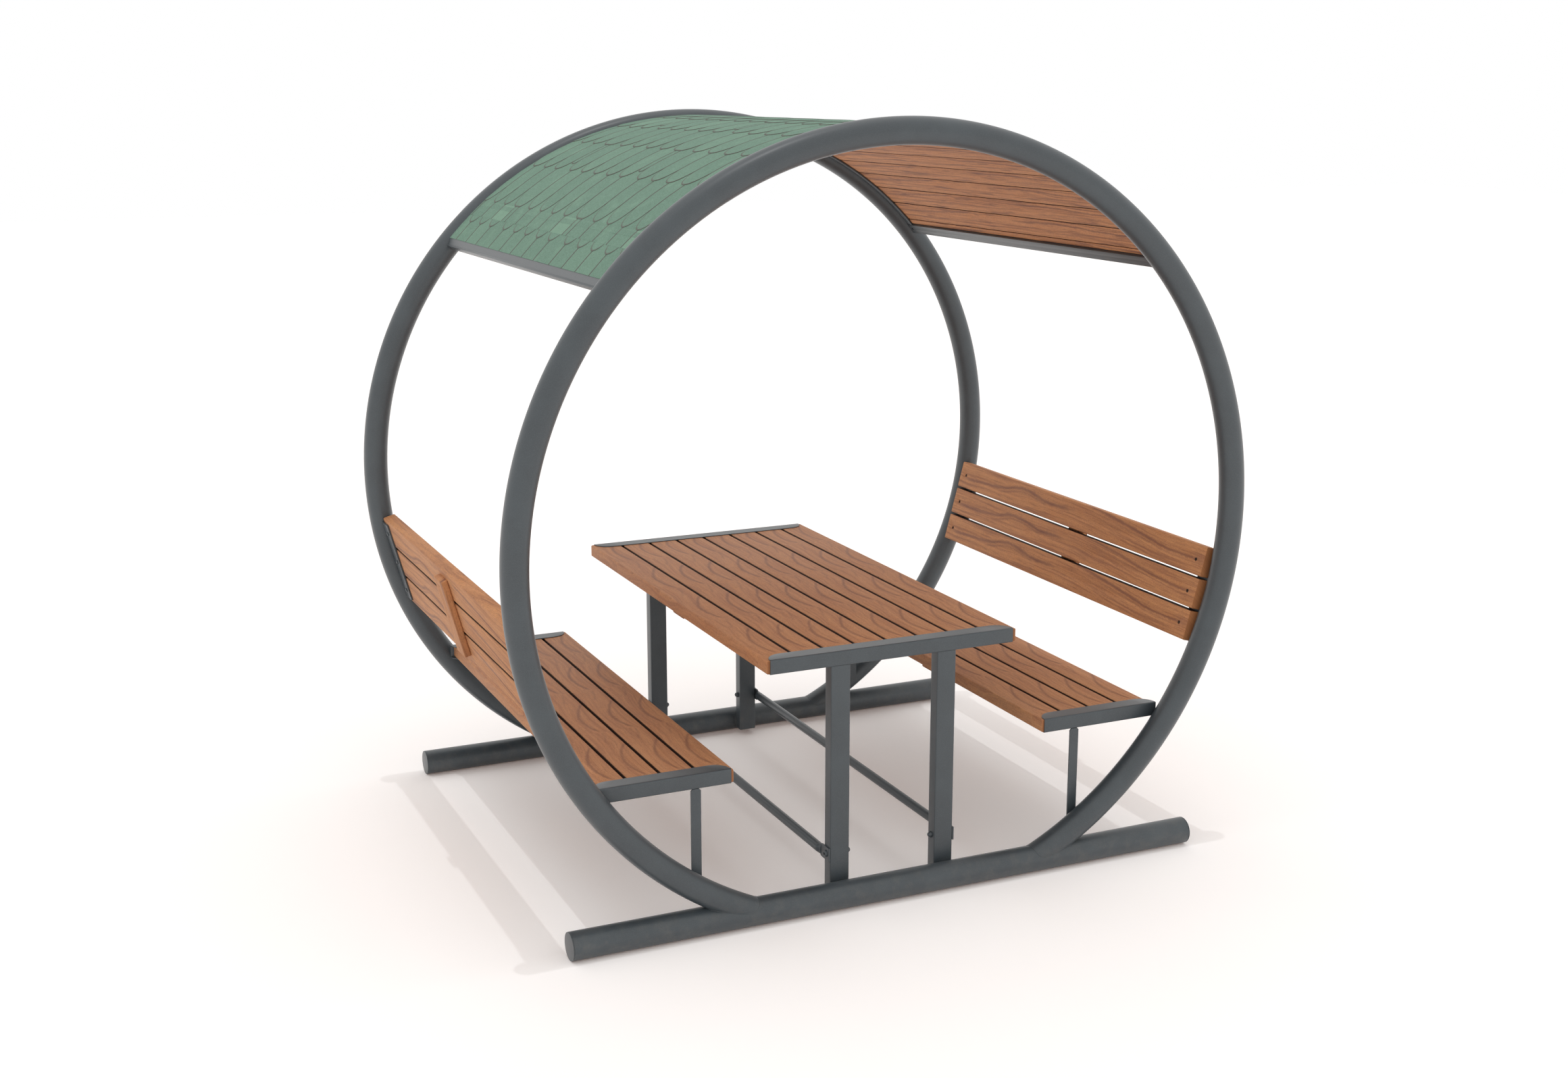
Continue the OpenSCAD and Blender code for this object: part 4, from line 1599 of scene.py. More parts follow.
@dataclass
class BraceNuts(SteelPiece):
    """The braces' four cap nuts, with six flats under a dome."""

    title = "brace_nuts_domed"
    solid = "brace_nuts"
    nut_r: float = 9.5
    dome_r: float = 8.2
    height: float = 12.0
    round_steps: int = 36

    def skins(self) -> list[Shell]:
        """Returns the nuts, whose dome is part of a circle turned about the bolt's axis."""
        turn = np.radians([17, 32, 47, 62, 76, 90])
        dome = np.stack([
            self.height - self.dome_r + self.dome_r * np.sin(turn), self.dome_r * np.cos(turn),
        ], -1)
        foot = [[0.0, 0.0], [0.0, self.nut_r - 0.7], [0.5, self.nut_r], [5.3, self.nut_r], [6.0, 8.3]]
        cut = [0.0, 0.0, 1.0, 1.0] + [0.0] * 7
        axes = brace_axes(PLAN.post_in_x, -1)
        return [turned(np.vstack([foot, dome]), axis, self.round_steps, 6, cut) for axis in axes]


@dataclass
class RoofArchBar(SteelPiece):
    """Flat bar rolled to the roof's arc, under the ends of the boards."""

    title = "{end}_roof_arch_bar_rolled"
    solid = "{end}_roof_arch_bar"
    end: End
    width: float = 28.5
    thick: float = 6.0
    corner: float = 0.8
    arc_steps: int = 96

    def skins(self) -> list[Shell]:
        """Returns the bar, whose section is carried along an arc about the rings' axis."""
        turn = np.radians(np.linspace(-PLAN.roof_half, PLAN.roof_half, self.arc_steps + 1))
        outward = np.stack([np.sin(turn), np.zeros_like(turn), np.cos(turn)], -1)
        middle_y = self.end.value * (PLAN.inner_y - self.width / 2)
        path = np.array([0.0, middle_y, PLAN.centre_z]) + (PLAN.ring_r - self.thick / 2) * outward
        outline = rounded_box(self.thick, self.width, self.corner, 3)
        return [loft(carry(outline, path, outward, (0, 1, 0)))]


@dataclass
class SeatStruts(SteelPiece):
    """Two flat bars from the rings up to one seat, with chamfered tops."""

    title = "{side}_seat_struts_cut"
    solid = "{side}_seat_struts"
    side: Side
    middle_x: float = 610.0
    width: float = 30.0
    thick: float = 5.0
    chamfer: float = 5.0
    foot_r: float = 1119.0
    edge: float = 0.7

    def strut(self, end: End) -> Shell:
        """Makes one flat bar.

        Its foot is cut along the circle of the foot radius: the height there is the rings'
        centre less the root of that radius squared less X squared.

        Args:
            end: The end of the seat.

        Returns:
            The skin of the bar.
        """
        half, top = self.width / 2, PLAN.seat_under_z
        x = self.middle_x + np.linspace(-half, half, 7)
        foot = np.stack([x - self.middle_x, PLAN.centre_z - np.sqrt(self.foot_r**2 - x**2)], -1)
        outline = np.vstack([
            foot,
            [[half, top - self.chamfer], [half - self.chamfer, top]],
            [[self.chamfer - half, top], [-half, top - self.chamfer]],
        ])
        faces = [
            (self.side.value * self.middle_x, end.value * y, 0.0)
            for y in (PLAN.inner_y - self.thick, PLAN.inner_y)
        ]
        return bar(outline, faces[0], faces[1], (self.side.value, 0, 0), (0, 0, 1), self.edge)

    def skins(self) -> list[Shell]:
        """Returns both bars."""
        return [self.strut(end) for end in End]


@dataclass
class EaveStrips(SteelPiece):
    """Two sloped steel drip strips from the shingles' lower edge to the edge bars' outer faces.

    A strip's section stands on the bar's outer face. It runs from the inner end to the toe, on
    both sides of the bar's middle, and its top falls from the crest to the toe.
    """

    title = "eave_strips"
    middle: float = 48.65
    face_r: float = 1122.9
    rise: float = 6.1
    inner: float = 18.0
    crest: float = 6.6
    toe: float = 13.0
    toe_h: float = 0.25
    half_len: float = 744.5
    edge: float = 0.1

    def skins(self) -> list[Shell]:
        """Returns both strips, whose section is laid square to the slope at the edge bars."""
        turn = math.radians(self.middle)
        outline = np.array([
            [-self.inner, 0.0], [self.toe, 0.0], [self.toe, self.toe_h],
            [-self.crest, self.rise], [-self.inner, self.rise],
        ])
        reach = np.array([0.0, self.half_len, 0.0])
        made = []
        for side in Side:
            out = np.array([side.value * math.sin(turn), 0.0, math.cos(turn)])
            across = (side.value * math.cos(turn), 0.0, -math.sin(turn))
            centre = np.array([0.0, 0.0, PLAN.centre_z]) + self.face_r * out
            made.append(bar(outline, centre - reach, centre + reach, across, out, self.edge))
        return made


@dataclass
class Seams(SteelPiece):
    """Weld seams of the rings and posts on the ground tubes."""

    title = "weld_seams"
    weld: Weld = Weld(2.2)
    low: float = 22.0
    high: float = 58.0
    depth: float = -0.2
    steps: int = 16

    def beside_post(self, x: float, end: End) -> Shell:
        """Makes the upright seam between a post's edge and its ground tube.

        It follows the tube's skin, which lies inside the tube's middle plane by the root of
        its radius squared less the height over its axis squared.

        Args:
            x: The X of the post's edge.
            end: The end of the object.

        Returns:
            The skin of the seam.
        """
        level = np.linspace(self.low, self.high, self.steps)
        inside = np.sqrt(PLAN.ground_r**2 - (level - PLAN.ground_z) ** 2) - self.depth
        path = np.stack([np.full_like(level, x), end.value * (PLAN.ring_y - inside), level], -1)
        return self.weld.lay(path, (1.0, 0.0, 0.0))

    def skins(self) -> list[Shell]:
        """Returns all seams."""
        made: list[Shell] = []
        for end in End:
            made += RingTube(end).seams()
            made += [
                self.beside_post(side.value * x, end)
                for side in Side for x in (PLAN.post_in_x, PLAN.post_out_x)
            ]
        return made


# Timber


@dataclass
class RoofBoards:
    """Lining boards side by side along the arc, with a narrow one at each lower end."""

    width: float = 82.8
    thick: float = 16.0
    count: int = 21
    corner: float = 1.8
    edge: float = 0.8
    end_gap: float = 0.3
    joint: float = 1.5

    def board(self, angle: float, width: float) -> Shell:
        """Makes one board.

        Args:
            angle: Turn of the board's middle from the crown.
            width: Its width.

        Returns:
            The skin of the board.
        """
        turn = math.radians(angle)
        out = np.array([math.sin(turn), 0.0, math.cos(turn)])
        across = (math.cos(turn), 0.0, -math.sin(turn))
        middle = np.array([0.0, 0.0, PLAN.centre_z]) + (PLAN.ring_r + self.thick / 2) * out
        reach = np.array([0.0, PLAN.inner_y - self.end_gap, 0.0])
        outline = rounded_box(width, self.thick, self.corner, 3)
        return bar(outline, middle - reach, middle + reach, across, out, self.edge)

    def build(self, material: Material) -> None:
        """Makes all boards as one piece and dresses it.

        Args:
            material: The roof's timber.
        """
        places = (np.arange(self.count) - (self.count - 1) / 2) * PLAN.board_pitch
        shells = [self.board(float(angle), self.width) for angle in places]
        filler = PLAN.roof_half - self.count * PLAN.board_pitch / 2
        width = 2 * PLAN.ring_r * math.tan(math.radians(filler) / 2) - self.joint
        shells += [self.board(side.value * (PLAN.roof_half - filler / 2), width) for side in Side]
        add_piece("roof_lining_boards", shells, material, Slot.ROOF_TIMBER, ["roof_boards"])


# Shingles


@dataclass(frozen=True)
class Course:
    """One course of shingles on a slope.

    Attributes:
        lower: Angle from the crown of its lower edge.
        upper: Angle from the crown of the next course's lower edge.
        tail: Height of the rounded ends, or zero for ends cut straight.
        wide: Whether a wide shingle stands at each joint, or else a narrow strip.
        edge: Height of its lower edge over the roof's skin.
        rest: Height of its face where the next course starts.
        pale: Whether the shingle after each joint is from a paler batch.
    """

    lower: float
    upper: float
    tail: float
    wide: bool
    edge: float = 2.4
    rest: float = 1.2
    pale: bool = False


@dataclass(frozen=True)
class Spot:
    """Where one shingle of a course stands on Y, and its width with one slot."""

    middle: float
    width: float
    narrow: bool = False
    after_joint: bool = False


def plate_faces(rows: int, columns: int) -> list[list[int]]:
    """Joins two equal grids of points to a closed plate.

    Every cell of a grid is a face, and a wall of faces runs round the rim between the grids.

    Args:
        rows: Rows of each grid. The upper grid's points are numbered first.
        columns: Columns of each grid.

    Returns:
        The faces as lists of point numbers.
    """
    top = np.arange(rows * columns).reshape(rows, columns)
    low = top + top.size
    skin = np.stack([top[:-1, :-1], top[:-1, 1:], top[1:, 1:], top[1:, :-1]], -1)
    base = np.stack([low[:-1, :-1], low[1:, :-1], low[1:, 1:], low[:-1, 1:]], -1)
    rim = np.concatenate([top[0], top[1:, -1], top[-1, -2::-1], top[-2:0:-1, 0]])
    after = np.roll(rim, -1)
    wall = np.stack([rim, after, after + top.size, rim + top.size], -1)
    return skin.reshape(-1, 4).tolist() + wall.tolist() + base.reshape(-1, 4).tolist()


@dataclass
class ShingleRoof:
    """Courses of round ended shingles on both slopes, with a strip along the crown."""

    skin_r: float = 1129.1
    half_len: float = 747.2
    strip: float = 594.0
    joint_y: float = -218.5
    joint_angle: float = 46.3
    wide_w: float = 142.0
    narrow_w: float = 34.0
    narrow_tail: float = 12.0
    short_by: float = 35.0
    slot_w: float = 1.8
    round_half: float = 56.5
    tuck: float = 24.0
    least: float = 0.6
    under: float = 0.1
    flush: float = 30.0
    sunk: float = -4.0
    ridge_half: float = 3.8
    ridge_count: int = 7
    ridge_lap: float = 24.0
    ridge_under: float = 1.5
    courses: tuple[Course, ...] = (
        Course(48.31, 44.7, 0.0, True, 1.5, 1.2),
        Course(44.7, 43.2, 90.0, False, 2.3, 1.4),
        Course(43.2, 41.2, 0.0, False, 1.6, 1.5, True),
        Course(41.2, 40.0, 0.0, False, 1.7, 1.5),
        Course(40.0, 30.5, 90.0, True),
        Course(30.5, 22.1, 72.0, False),
        Course(22.1, 14.3, 64.0, True),
        Course(14.3, 7.0, 60.0, False),
        Course(7.0, 2.0, 56.0, True),
    )
    seed: int = 11

    def bend(self, side: Side, angle: Array, y: Array, height: Array) -> Array:
        """Wraps places onto the roof.

        A point stands at the skin's radius plus its height from the rings' axis, turned from
        the crown by its angle towards one side.

        Args:
            side: The slope.
            angle: Angles from the crown.
            y: Places along Y, one for each angle or one for all.
            height: Heights over the roof's skin, likewise.

        Returns:
            Points, one row each.
        """
        angle, y, height = np.broadcast_arrays(angle, y, height)
        radius = self.skin_r + height
        turn = np.radians(angle)
        across, up = side.value * radius * np.sin(turn), PLAN.centre_z + radius * np.cos(turn)
        return np.stack([across, y, up], -1).reshape(-1, 3)

    def layout(self, course: Course) -> list[Spot]:
        """Places the shingles of a course.

        A joint comes every strip length, and drifts a little from course to course. Between two
        joints stand four shingles and a wide one at the joint, or five and a narrow strip.

        Args:
            course: The course.

        Returns:
            The shingles that lie on the roof.
        """
        joint = self.joint_y + (self.joint_angle - (course.lower + course.upper) / 2)
        odd_w, count = (self.wide_w, 4) if course.wide else (self.narrow_w, 5)
        width = (self.strip - odd_w) / count
        spots: list[Spot] = []
        for turn in range(-2, 3):
            start = joint + turn * self.strip
            spots.append(Spot(start, odd_w, narrow=not course.wide))
            spots += [
                Spot(start + odd_w / 2 + (i + 0.5) * width, width, after_joint=i == 0)
                for i in range(count)
            ]
        return [spot for spot in spots if abs(spot.middle) - spot.width / 2 < self.half_len - 6]

    def outline(self, course: Course, spot: Spot) -> tuple[Array, Array]:
        """Gives the lower outline of one shingle.

        A rounded end is half an ellipse: at an angle from the end's middle, the outline stands
        at the half width times the sine, and lies up the slope by the tail's height times one
        less the cosine. A wide shingle has a flat piece between the two halves.

        Args:
            course: The course.
            spot: The shingle's place.

        Returns:
            Places along Y, and how far up the slope the outline lies there.
        """
        half = (spot.width - self.slot_w) / 2
        if course.tail == 0:
            y = spot.middle + half * np.linspace(-1, 1, 3)
            drop = np.zeros(3)
        else:
            tail = self.narrow_tail if spot.narrow else course.tail
            round_half = min(half, self.round_half - self.slot_w / 2)
            beta = np.radians(np.linspace(-90, 90, 14))
            y = spot.middle + (half - round_half) * np.sign(beta) + round_half * np.sin(beta)
            drop = tail * (1 - np.cos(beta)) + (self.short_by if spot.narrow else 0.0)
        low, high = max(float(y[0]), -self.half_len), min(float(y[-1]), self.half_len)
        inside = y[(y > low + 0.5) & (y < high - 0.5)]
        kept = np.concatenate([[low], inside, [high]])
        return kept, np.interp(kept, y, drop)

    def shingle(self, side: Side, course: Course, next_tail: float, spot: Spot, tone: float) -> Shell:
        """Makes one shingle as a closed curved plate.

        Its columns run up the slope from its lower outline to a straight upper edge that the
        next course covers. Its top face falls evenly up the slope, so that the next course
        lies over it. The UV map holds the distance to the nearest edge, where the material paints
        a shadow line.

        Args:
            side: The slope.
            course: The course.
            next_tail: Height of the next course's rounded ends.
            spot: The shingle's place.
            tone: Its shade.

        Returns:
            The skin.
        """
        degree = 180 / math.pi / self.skin_r
        y, drop = self.outline(course, spot)
        lower = course.lower - drop * degree
        top = max(course.upper - (next_tail + self.tuck) * degree, 0.3)
        share = np.array([0.0, 0.05, 0.3, 0.55, 0.8, 1.0])[:, None]
        angle = lower + share * (top - lower)
        fall = (course.edge - course.rest) / (course.lower - course.upper)
        height = np.maximum(course.edge - fall * (course.lower - angle), self.least)
        points = np.vstack([self.bend(side, angle, y, height), self.bend(side, angle, y, self.under)])
        off_middle = np.broadcast_to(np.abs(y - spot.middle), angle.shape)
        half = max((spot.width - self.slot_w) / 2, 1.0)
        straight = course.tail == 0
        lean = 0.0 if straight else np.clip(off_middle / half, 0, 0.97)
        to_end = (lower - angle) / degree * np.sqrt(1 - np.square(lean))
        to_end = to_end + (self.flush if straight else 0.0)
        face = np.stack([half - off_middle, to_end], -1).reshape(-1, 2)
        below = face if straight else np.full_like(face, self.sunk)
        return Shell(points, plate_faces(*angle.shape), np.vstack([face, below]) * MM, tone)

    def underlay(self, side: Side) -> Shell:
        """Makes the sheet that shows in the slots between the shingles of a slope, in the painted
        shadow-line colour.

        Args:
            side: The slope.

        Returns:
            The skin.
        """
        angle = np.linspace(0.0, self.courses[0].lower - 0.05, 40)
        half, thick = self.half_len - 0.2, 0.5
        outline = ((-half, 0.0), (half, 0.0), (half, thick), (-half, thick))
        shell = loft(np.stack([self.bend(side, angle, y, up) for y, up in outline], 1))
        # a zero spread gives the underlay the painted shadow-line colour
        shell.spread = np.zeros((len(shell.points), 2))
        return shell

    def crown(self) -> list[Shell]:
        """Makes the strips over the crown, each lapping over the one behind it.

        A strip is a curved plate with three rows of points: its front edge, a row 3 mm behind
        it and its back edge, which lies lower, under the next strip.
        """
        shells = []
        length = 2 * self.half_len / self.ridge_count
        angle = np.linspace(-self.ridge_half, self.ridge_half, 9)
        to_side = (self.ridge_half - np.abs(angle)) * math.pi / 180 * self.skin_r
        near = np.append(to_side, np.full(9, self.sunk / 2))
        far = np.array([0.0, 3.0, 60.0])[:, None]
        spread = np.stack(np.broadcast_arrays(near, far), -1).reshape(-1, 2) * MM
        for i in range(self.ridge_count):
            start = -self.half_len + i * length
            finish = min(start + length + self.ridge_lap, self.half_len)
            rings = [
                np.vstack([
                    self.bend(Side.RIGHT, angle, station, up),
                    self.bend(Side.RIGHT, angle[::-1], station, self.ridge_under),
                ])
                for station, up in ((start, 3.2), (start + 3.0, 3.3), (finish, 2.4))
            ]
            shell = loft(np.array(rings))
            shell.spread = spread
            shell.tone = 0.45 + 0.1 * (i % 2)
            shells.append(shell)
        return shells

    def build(self, material: Material) -> None:
        """Makes both slopes and the crown strip as pieces that stand for the shingle solids.

        Args:
            material: The shingles' finish.
        """
        chance = np.random.default_rng(self.seed)
        tails = [course.tail for course in self.courses[1:]] + [0.0]
        for side in Side:
            shells = [self.underlay(side)]
            for course, next_tail in zip(self.courses, tails):
                for spot in self.layout(course):
                    tone = float(np.clip(chance.normal(0.5, 0.1), 0.15, 0.85))
                    if course.pale and spot.after_joint:
                        tone = 1.0
                    shells.append(self.shingle(side, course, next_tail, spot, tone))
            name = f"{side.word}_slope_shingles"
            add_piece(name, shells, material, Slot.SHINGLES, ["roof_shingles"])
        add_piece("crown_shingles", self.crown(), material, Slot.SHINGLES, ["roof_shingles"])


# Screws


@dataclass
class WoodScrews:
    """Wood screws with a low round head and a driver recess.

    The heads in the backrests' battens are sunk into the timber, so none of them shows.
    """

    shank_r: float = 2.5
    tip: float = 4.0
    head_r: float = 4.0
    head_h: float = 2.2
    bite: float = 22.0
    sunk: float = 3.0
    dip: float = 3.15
    short: float = 0.05

    def one(self, axis: Axis, length: float) -> Shell:
        """Makes one screw.

        Args:
            axis: The screw's axis, from its head's underside towards its point.
            length: Length under the head.

        Returns:
            The skin.
        """
        profile = np.array([
            [length, 0.0], [length - self.tip, self.shank_r], [0.0, self.shank_r], [0.0, self.head_r],
            [-0.7, self.head_r - 0.05], [-1.5, 3.3], [-2.0, 2.3], [-self.head_h, 1.8],
            [-2.1, 1.5], [-0.9, 1.3], [-0.8, 0.0],
        ])
        cut = [0.0] * 8 + [1.0, 1.0, 0.0]
        return turned(profile, axis, 18, 6, cut)

    def washer(self, axis: Axis) -> Shell:
        """Returns the thin dished washer round a screw's head, flush with the timber."""
        profile = np.array([
            [0.9, self.head_r - 0.3], [-0.2, self.head_r - 0.1], [-0.45, self.head_r + 0.5],
            [-0.25, self.head_r + 1.2], [0.1, self.head_r + 1.4], [0.9, self.head_r + 0.2],
        ])
        return turned(profile, axis, 24, closed=True)

    def nut(self, axis: Axis) -> Shell:
        """Returns the domed nut on a screw's end: a six-sided foot under a low dome."""
        profile = np.array([
            [0.0, 0.0], [0.0, 6.2], [0.4, 6.6], [3.0, 6.6],
            [3.6, 5.8], [4.6, 4.6], [5.2, 2.6], [5.4, 0.0],
        ])
        return turned(profile, axis, 24, 6, [0.0, 0.0, 1.0, 1.0] + [0.0] * 4)

    def upright(self, places: Array, y: float, start_z: float, length: float) -> list[Shell]:
        """Returns a row of screws that point up from their heads' height."""
        return [self.one(Axis((x, y, start_z), (0.0, 0.0, 1.0)), length) for x in places]

    def in_lips(self) -> list[Shell]:
        """Makes the screws through the channels' lower lips."""
        length = PLAN.sheet_t + self.bite
        made = []
        for end in End:
            y = end.value * PLAN.lip_screw_y
            made += self.upright(PLAN.table_slats(), y, PLAN.table_under_z, length)
            for side in Side:
                made += self.upright(side.value * PLAN.seat_slats(), y, PLAN.seat_under_z, length)
        return made

    def in_battens(self) -> list[Shell]:
        """Makes the screws through the battens, which lie under the slats or behind them."""
        thick = PLAN.table_batten_t
        start_z = PLAN.table_under_z + PLAN.sheet_t - thick
        made = self.upright(PLAN.table_slats(), 0.0, start_z, thick + self.bite)
        thick = PLAN.batten_t
        start_z = PLAN.seat_under_z + PLAN.sheet_t - thick
        for side in Side:
            made += self.upright(side.value * PLAN.seat_slats(), 0.0, start_z, thick + self.bite)
            for middle, out in self.backrest_lines(side):
                head = middle + (PLAN.back_plate + thick - self.sunk) * out
                made.append(self.one(Axis(head, -out), thick + self.bite - self.sunk))
        return made

    def in_backrests(self) -> tuple[list[Shell], list[Shell]]:
        """Makes the screws through the backrest slats, with their washers, and their nuts."""
        outer = PLAN.back_plate + PLAN.back_plate_t
        start = PLAN.backrest_face + self.dip
        screws, nuts = [], []
        for side in Side:
            for middle, out in self.backrest_lines(side):
                for end in End:
                    place = middle + [0, end.value * PLAN.back_screw_y, 0]
                    screws.append(self.one(Axis(place + start * out, out), outer - self.short - start))
                    screws.append(self.washer(Axis(place + PLAN.backrest_face * out, out)))
                    nuts.append(self.nut(Axis(place + outer * out, out)))
        return screws, nuts

    @staticmethod
    def backrest_lines(side: Side) -> list[tuple[Array, Array]]:
        """Gives for each slat of a backrest a line through its middle, square to its face.

        Args:
            side: The backrest's side.

        Returns:
            For each slat the point where the line passes X zero, and the line's direction.
        """
        lean = math.radians(PLAN.lean)
        out = np.array([side.value * math.cos(lean), 0.0, -math.sin(lean)])
        rise = np.array([side.value * math.sin(lean), 0.0, math.cos(lean)])
        centre = np.array([0.0, 0.0, PLAN.centre_z])
        return [(centre + step * PLAN.slat_pitch * rise, out) for step in (-1, 0, 1)]

    def build(self, finishes: "Finishes") -> None:
        """Makes the three groups of screws and the coated nuts.

        Args:
            finishes: Every material of the object.
        """
        screws, nuts = self.in_backrests()
        add_piece("channel_screws_turned", self.in_lips(), finishes.zinc, Slot.ZINC, ["channel_screws"])
        add_piece("batten_screws_turned", self.in_battens(), finishes.zinc, Slot.ZINC, ["batten_screws"])
        add_piece("backrest_screws_turned", screws, finishes.black, Slot.DARK, ["backrest_screws"])
        add_piece("backrest_nuts", nuts, finishes.coat, Slot.STEEL)


# Studio


@dataclass
class Studio:
    """Camera, white surroundings, a pale floor and plain light."""

    place: tuple[float, float, float] = (-2.4158, -5.2887, 2.2868)
    heading: float = -24.49
    elevation: float = 13.46
    focal_px: float = 2808.0
    image_w: float = 2321.0
    sensor: float = 36.0
    sky: float = 0.97
    sky_tint: Colour = (1.0, 0.99, 0.975, 1.0)
    overhead: float = 0.32
    sun_size: float = 0.5
    floor_half: float = 30.0
    floor_tint: Colour = (0.8, 0.79, 0.78, 1.0)
    lift: float = 0.105
    lift_tint: Colour = (1.0, 0.695, 0.584, 1.0)
    white: Colour = (1.0, 1.0, 1.0, 1.0)

    def camera(self) -> None:
        """Adds the camera at the photograph's viewing angle."""
        data = bpy.data.cameras.new("View")
        data.sensor_fit = "HORIZONTAL"
        data.sensor_width = self.sensor
        data.lens = self.focal_px / self.image_w * self.sensor
        data.clip_end = 200.0
        made = bpy.data.objects.new("View", data)
        made.location = self.place
        made.rotation_euler = (math.radians(90 - self.elevation), 0.0, math.radians(self.heading))
        bpy.context.scene.collection.objects.link(made)
        bpy.context.scene.camera = made

    def surroundings(self) -> None:
        """Sets the world: even soft light, and plain white where the camera sees it."""
        world = bpy.data.worlds.new("Studio")
        bpy.context.scene.world = world
        graph = Graph(world)
        light = graph.node("ShaderNodeBackground", None, {"Color": self.sky_tint, "Strength": self.sky})
        white = graph.node("ShaderNodeBackground", None, {"Color": self.white, "Strength": 1.0})
        path = graph.node("ShaderNodeLightPath")
        inputs = {0: path.outputs["Is Camera Ray"], 1: light.outputs[0], 2: white.outputs[0]}
        mixed = graph.node("ShaderNodeMixShader", None, inputs)
        graph.node("ShaderNodeOutputWorld", None, {"Surface": mixed.outputs[0]})

    def lamp(self) -> None:
        """Adds one soft sun straight overhead, for the faint shadow under the rings."""
        data = bpy.data.lights.new("Overhead", "SUN")
        data.energy = self.overhead
        data.angle = math.radians(self.sun_size)
        made = bpy.data.objects.new("Overhead", data)
        made.location = (0.0, 0.0, 5.0)
        bpy.context.scene.collection.objects.link(made)

    def floor_finish(self) -> Material:
        """Returns the floor's material: white for rays that show it, and pale for all others."""
        material = bpy.data.materials.new("pale_floor")
        graph = Graph(material)
        path = graph.node("ShaderNodeLightPath")
        camera, gloss, clear = (
            Value(graph, path.outputs[f"Is {kind} Ray"]) for kind in ("Camera", "Glossy", "Transmission")
        )
        seen = camera.largest(gloss).largest(clear)
        plain = graph.node("ShaderNodeBsdfDiffuse", None, {"Color": self.floor_tint})
        shown = graph.node("ShaderNodeBsdfDiffuse", None, {"Color": self.white})
        lift = graph.node("ShaderNodeEmission", None, {"Color": self.lift_tint, "Strength": self.lift})
        bright = graph.node("ShaderNodeAddShader", None, {0: shown.outputs[0], 1: lift.outputs[0]})
        inputs = {0: seen, 1: plain.outputs[0], 2: bright.outputs[0]}
        mixed = graph.node("ShaderNodeMixShader", None, inputs)
        graph.node("ShaderNodeOutputMaterial", None, {"Surface": mixed.outputs[0]})
        return material

    def floor(self) -> None:
        """Lays a pale floor that is white in the open and keeps the object's soft shadow."""
        half = self.floor_half
        corners = [(-half, -half, 0), (half, -half, 0), (half, half, 0), (-half, half, 0)]
        mesh = bpy.data.meshes.new("floor")
        mesh.from_pydata(corners, [], [(0, 1, 2, 3)])
        mesh.materials.append(self.floor_finish())
        made = bpy.data.objects.new("floor", mesh)
        bpy.context.scene.collection.objects.link(made)

    def build(self) -> None:
        """Sets up the whole studio."""
        bpy.context.scene.view_settings.view_transform = "Standard"
        self.camera()
        self.surroundings()
        self.lamp()
        self.floor()
        LOG.info("studio: camera, floor, surroundings and lamp")


# Assembly


class Finishes:
    """Every material of the object, made once."""

    def __init__(self) -> None:
        """Makes the powder coat, the metals of the screws and the shingles' stone felt."""
        self.coat = PowderCoat().build()
        self.zinc = Screw("zinc_plate", colour(138, 134, 130), colour(112, 108, 104)).build()
        self.black = Screw(
            "blackened_steel", colour(34, 32, 32), colour(24, 22, 22), metallic=0.2, roughness=0.6,
        ).build()
        self.felt = StoneFelt().build()

    def timber(self, lie: Lie) -> Material:
        """Returns the timber of one row, with the grain and shades of how it lies."""
        return Timber(lie, *GRAINS[lie]).build()


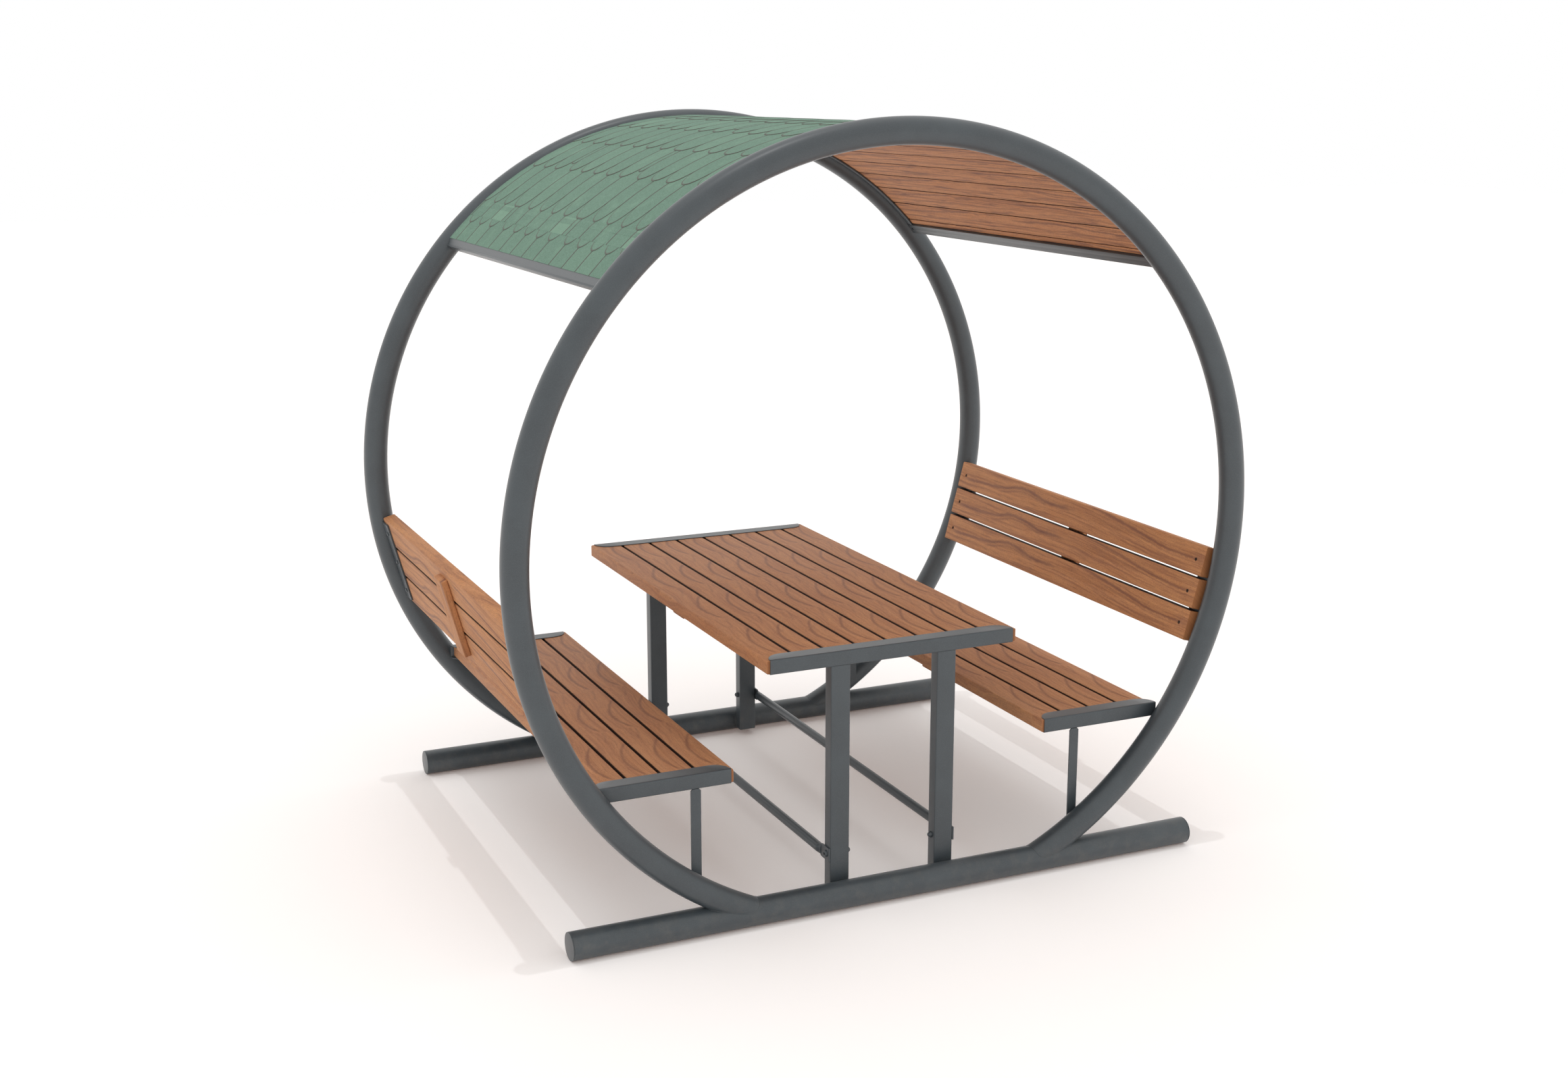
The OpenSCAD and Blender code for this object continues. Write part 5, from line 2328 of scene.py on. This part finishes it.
@dataclass
class SteelFrame:
    """Rings, ground tubes, posts, channels, braces and the steel of the benches and roof."""

    coat: Material
    plate_ease: float = 0.8
    bar_ease: float = 1.0

    def channels(self) -> list[SteelPiece]:
        """Returns the folded channels of the table and the two seats."""
        made = []
        for end in End:
            nodes = {f"table_{end.word}_channel": PLAN.table_under_z}
            nodes |= {f"{side.word}_seat_{end.word}_channel": PLAN.seat_under_z for side in Side}
            for node, under_z in nodes.items():
                low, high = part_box(node)
                made.append(EndChannel(node, end, low.x / MM, high.x / MM, under_z))
        return made

    def build(self) -> None:
        """Makes all steel pieces."""
        pieces: list[SteelPiece] = []
        for end in End:
            pieces += [RingTube(end), GroundTube(end), RoofArchBar(end)]
            pieces += [TablePost(end, side) for side in Side]
        pieces += [GroundCaps(), *self.channels()]
        for side in Side:
            pieces += [Brace(side), SeatStruts(side)]
        pieces += [BraceBolts(), BraceNuts(), EaveStrips(), Seams()]
        for piece in pieces:
            piece.build(self.coat)
        for side in Side:
            plates, bar = f"{side.word}_backrest_plates", f"{side.word}_roof_edge_bar"
            EasedCopies([plates], self.coat, Slot.STEEL, self.plate_ease).build()
            EasedCopies([bar], self.coat, Slot.STEEL, self.bar_ease).build()


@dataclass
class Woodwork:
    """Slats, battens and roof boards."""

    finishes: Finishes

    def build(self) -> None:
        """Makes all timber pieces."""
        make = self.finishes.timber
        EasedCopies([f"table_slat_{i}" for i in range(1, 9)], make(Lie.TABLE)).build()
        flat = make(Lie.FLAT_BATTEN)
        EasedCopies(["table_batten", "left_seat_batten", "right_seat_batten"], flat).build()
        for side, seat, back, batten in (
            (Side.LEFT, Lie.LEFT_SEAT, Lie.LEFT_BACKREST, Lie.LEFT_BATTEN),
            (Side.RIGHT, Lie.RIGHT_SEAT, Lie.RIGHT_BACKREST, Lie.RIGHT_BATTEN),
        ):
            EasedCopies([f"{side.word}_seat_slat_{i}" for i in range(1, 5)], make(seat)).build()
            EasedCopies([f"{side.word}_backrest_slat_{i}" for i in range(1, 4)], make(back)).build()
            EasedCopies([f"{side.word}_backrest_batten"], make(batten)).build()
        RoofBoards().build(make(Lie.ROOF))


def main() -> None:
    """Builds the studio, then every sub-assembly in order."""
    logging.basicConfig(level=logging.INFO, format="%(name)s: %(message)s")
    Studio().build()
    finishes = Finishes()
    SteelFrame(finishes.coat).build()
    Woodwork(finishes).build()
    ShingleRoof().build(finishes.felt)
    WoodScrews().build(finishes)


if __name__ == "__main__":
    main()
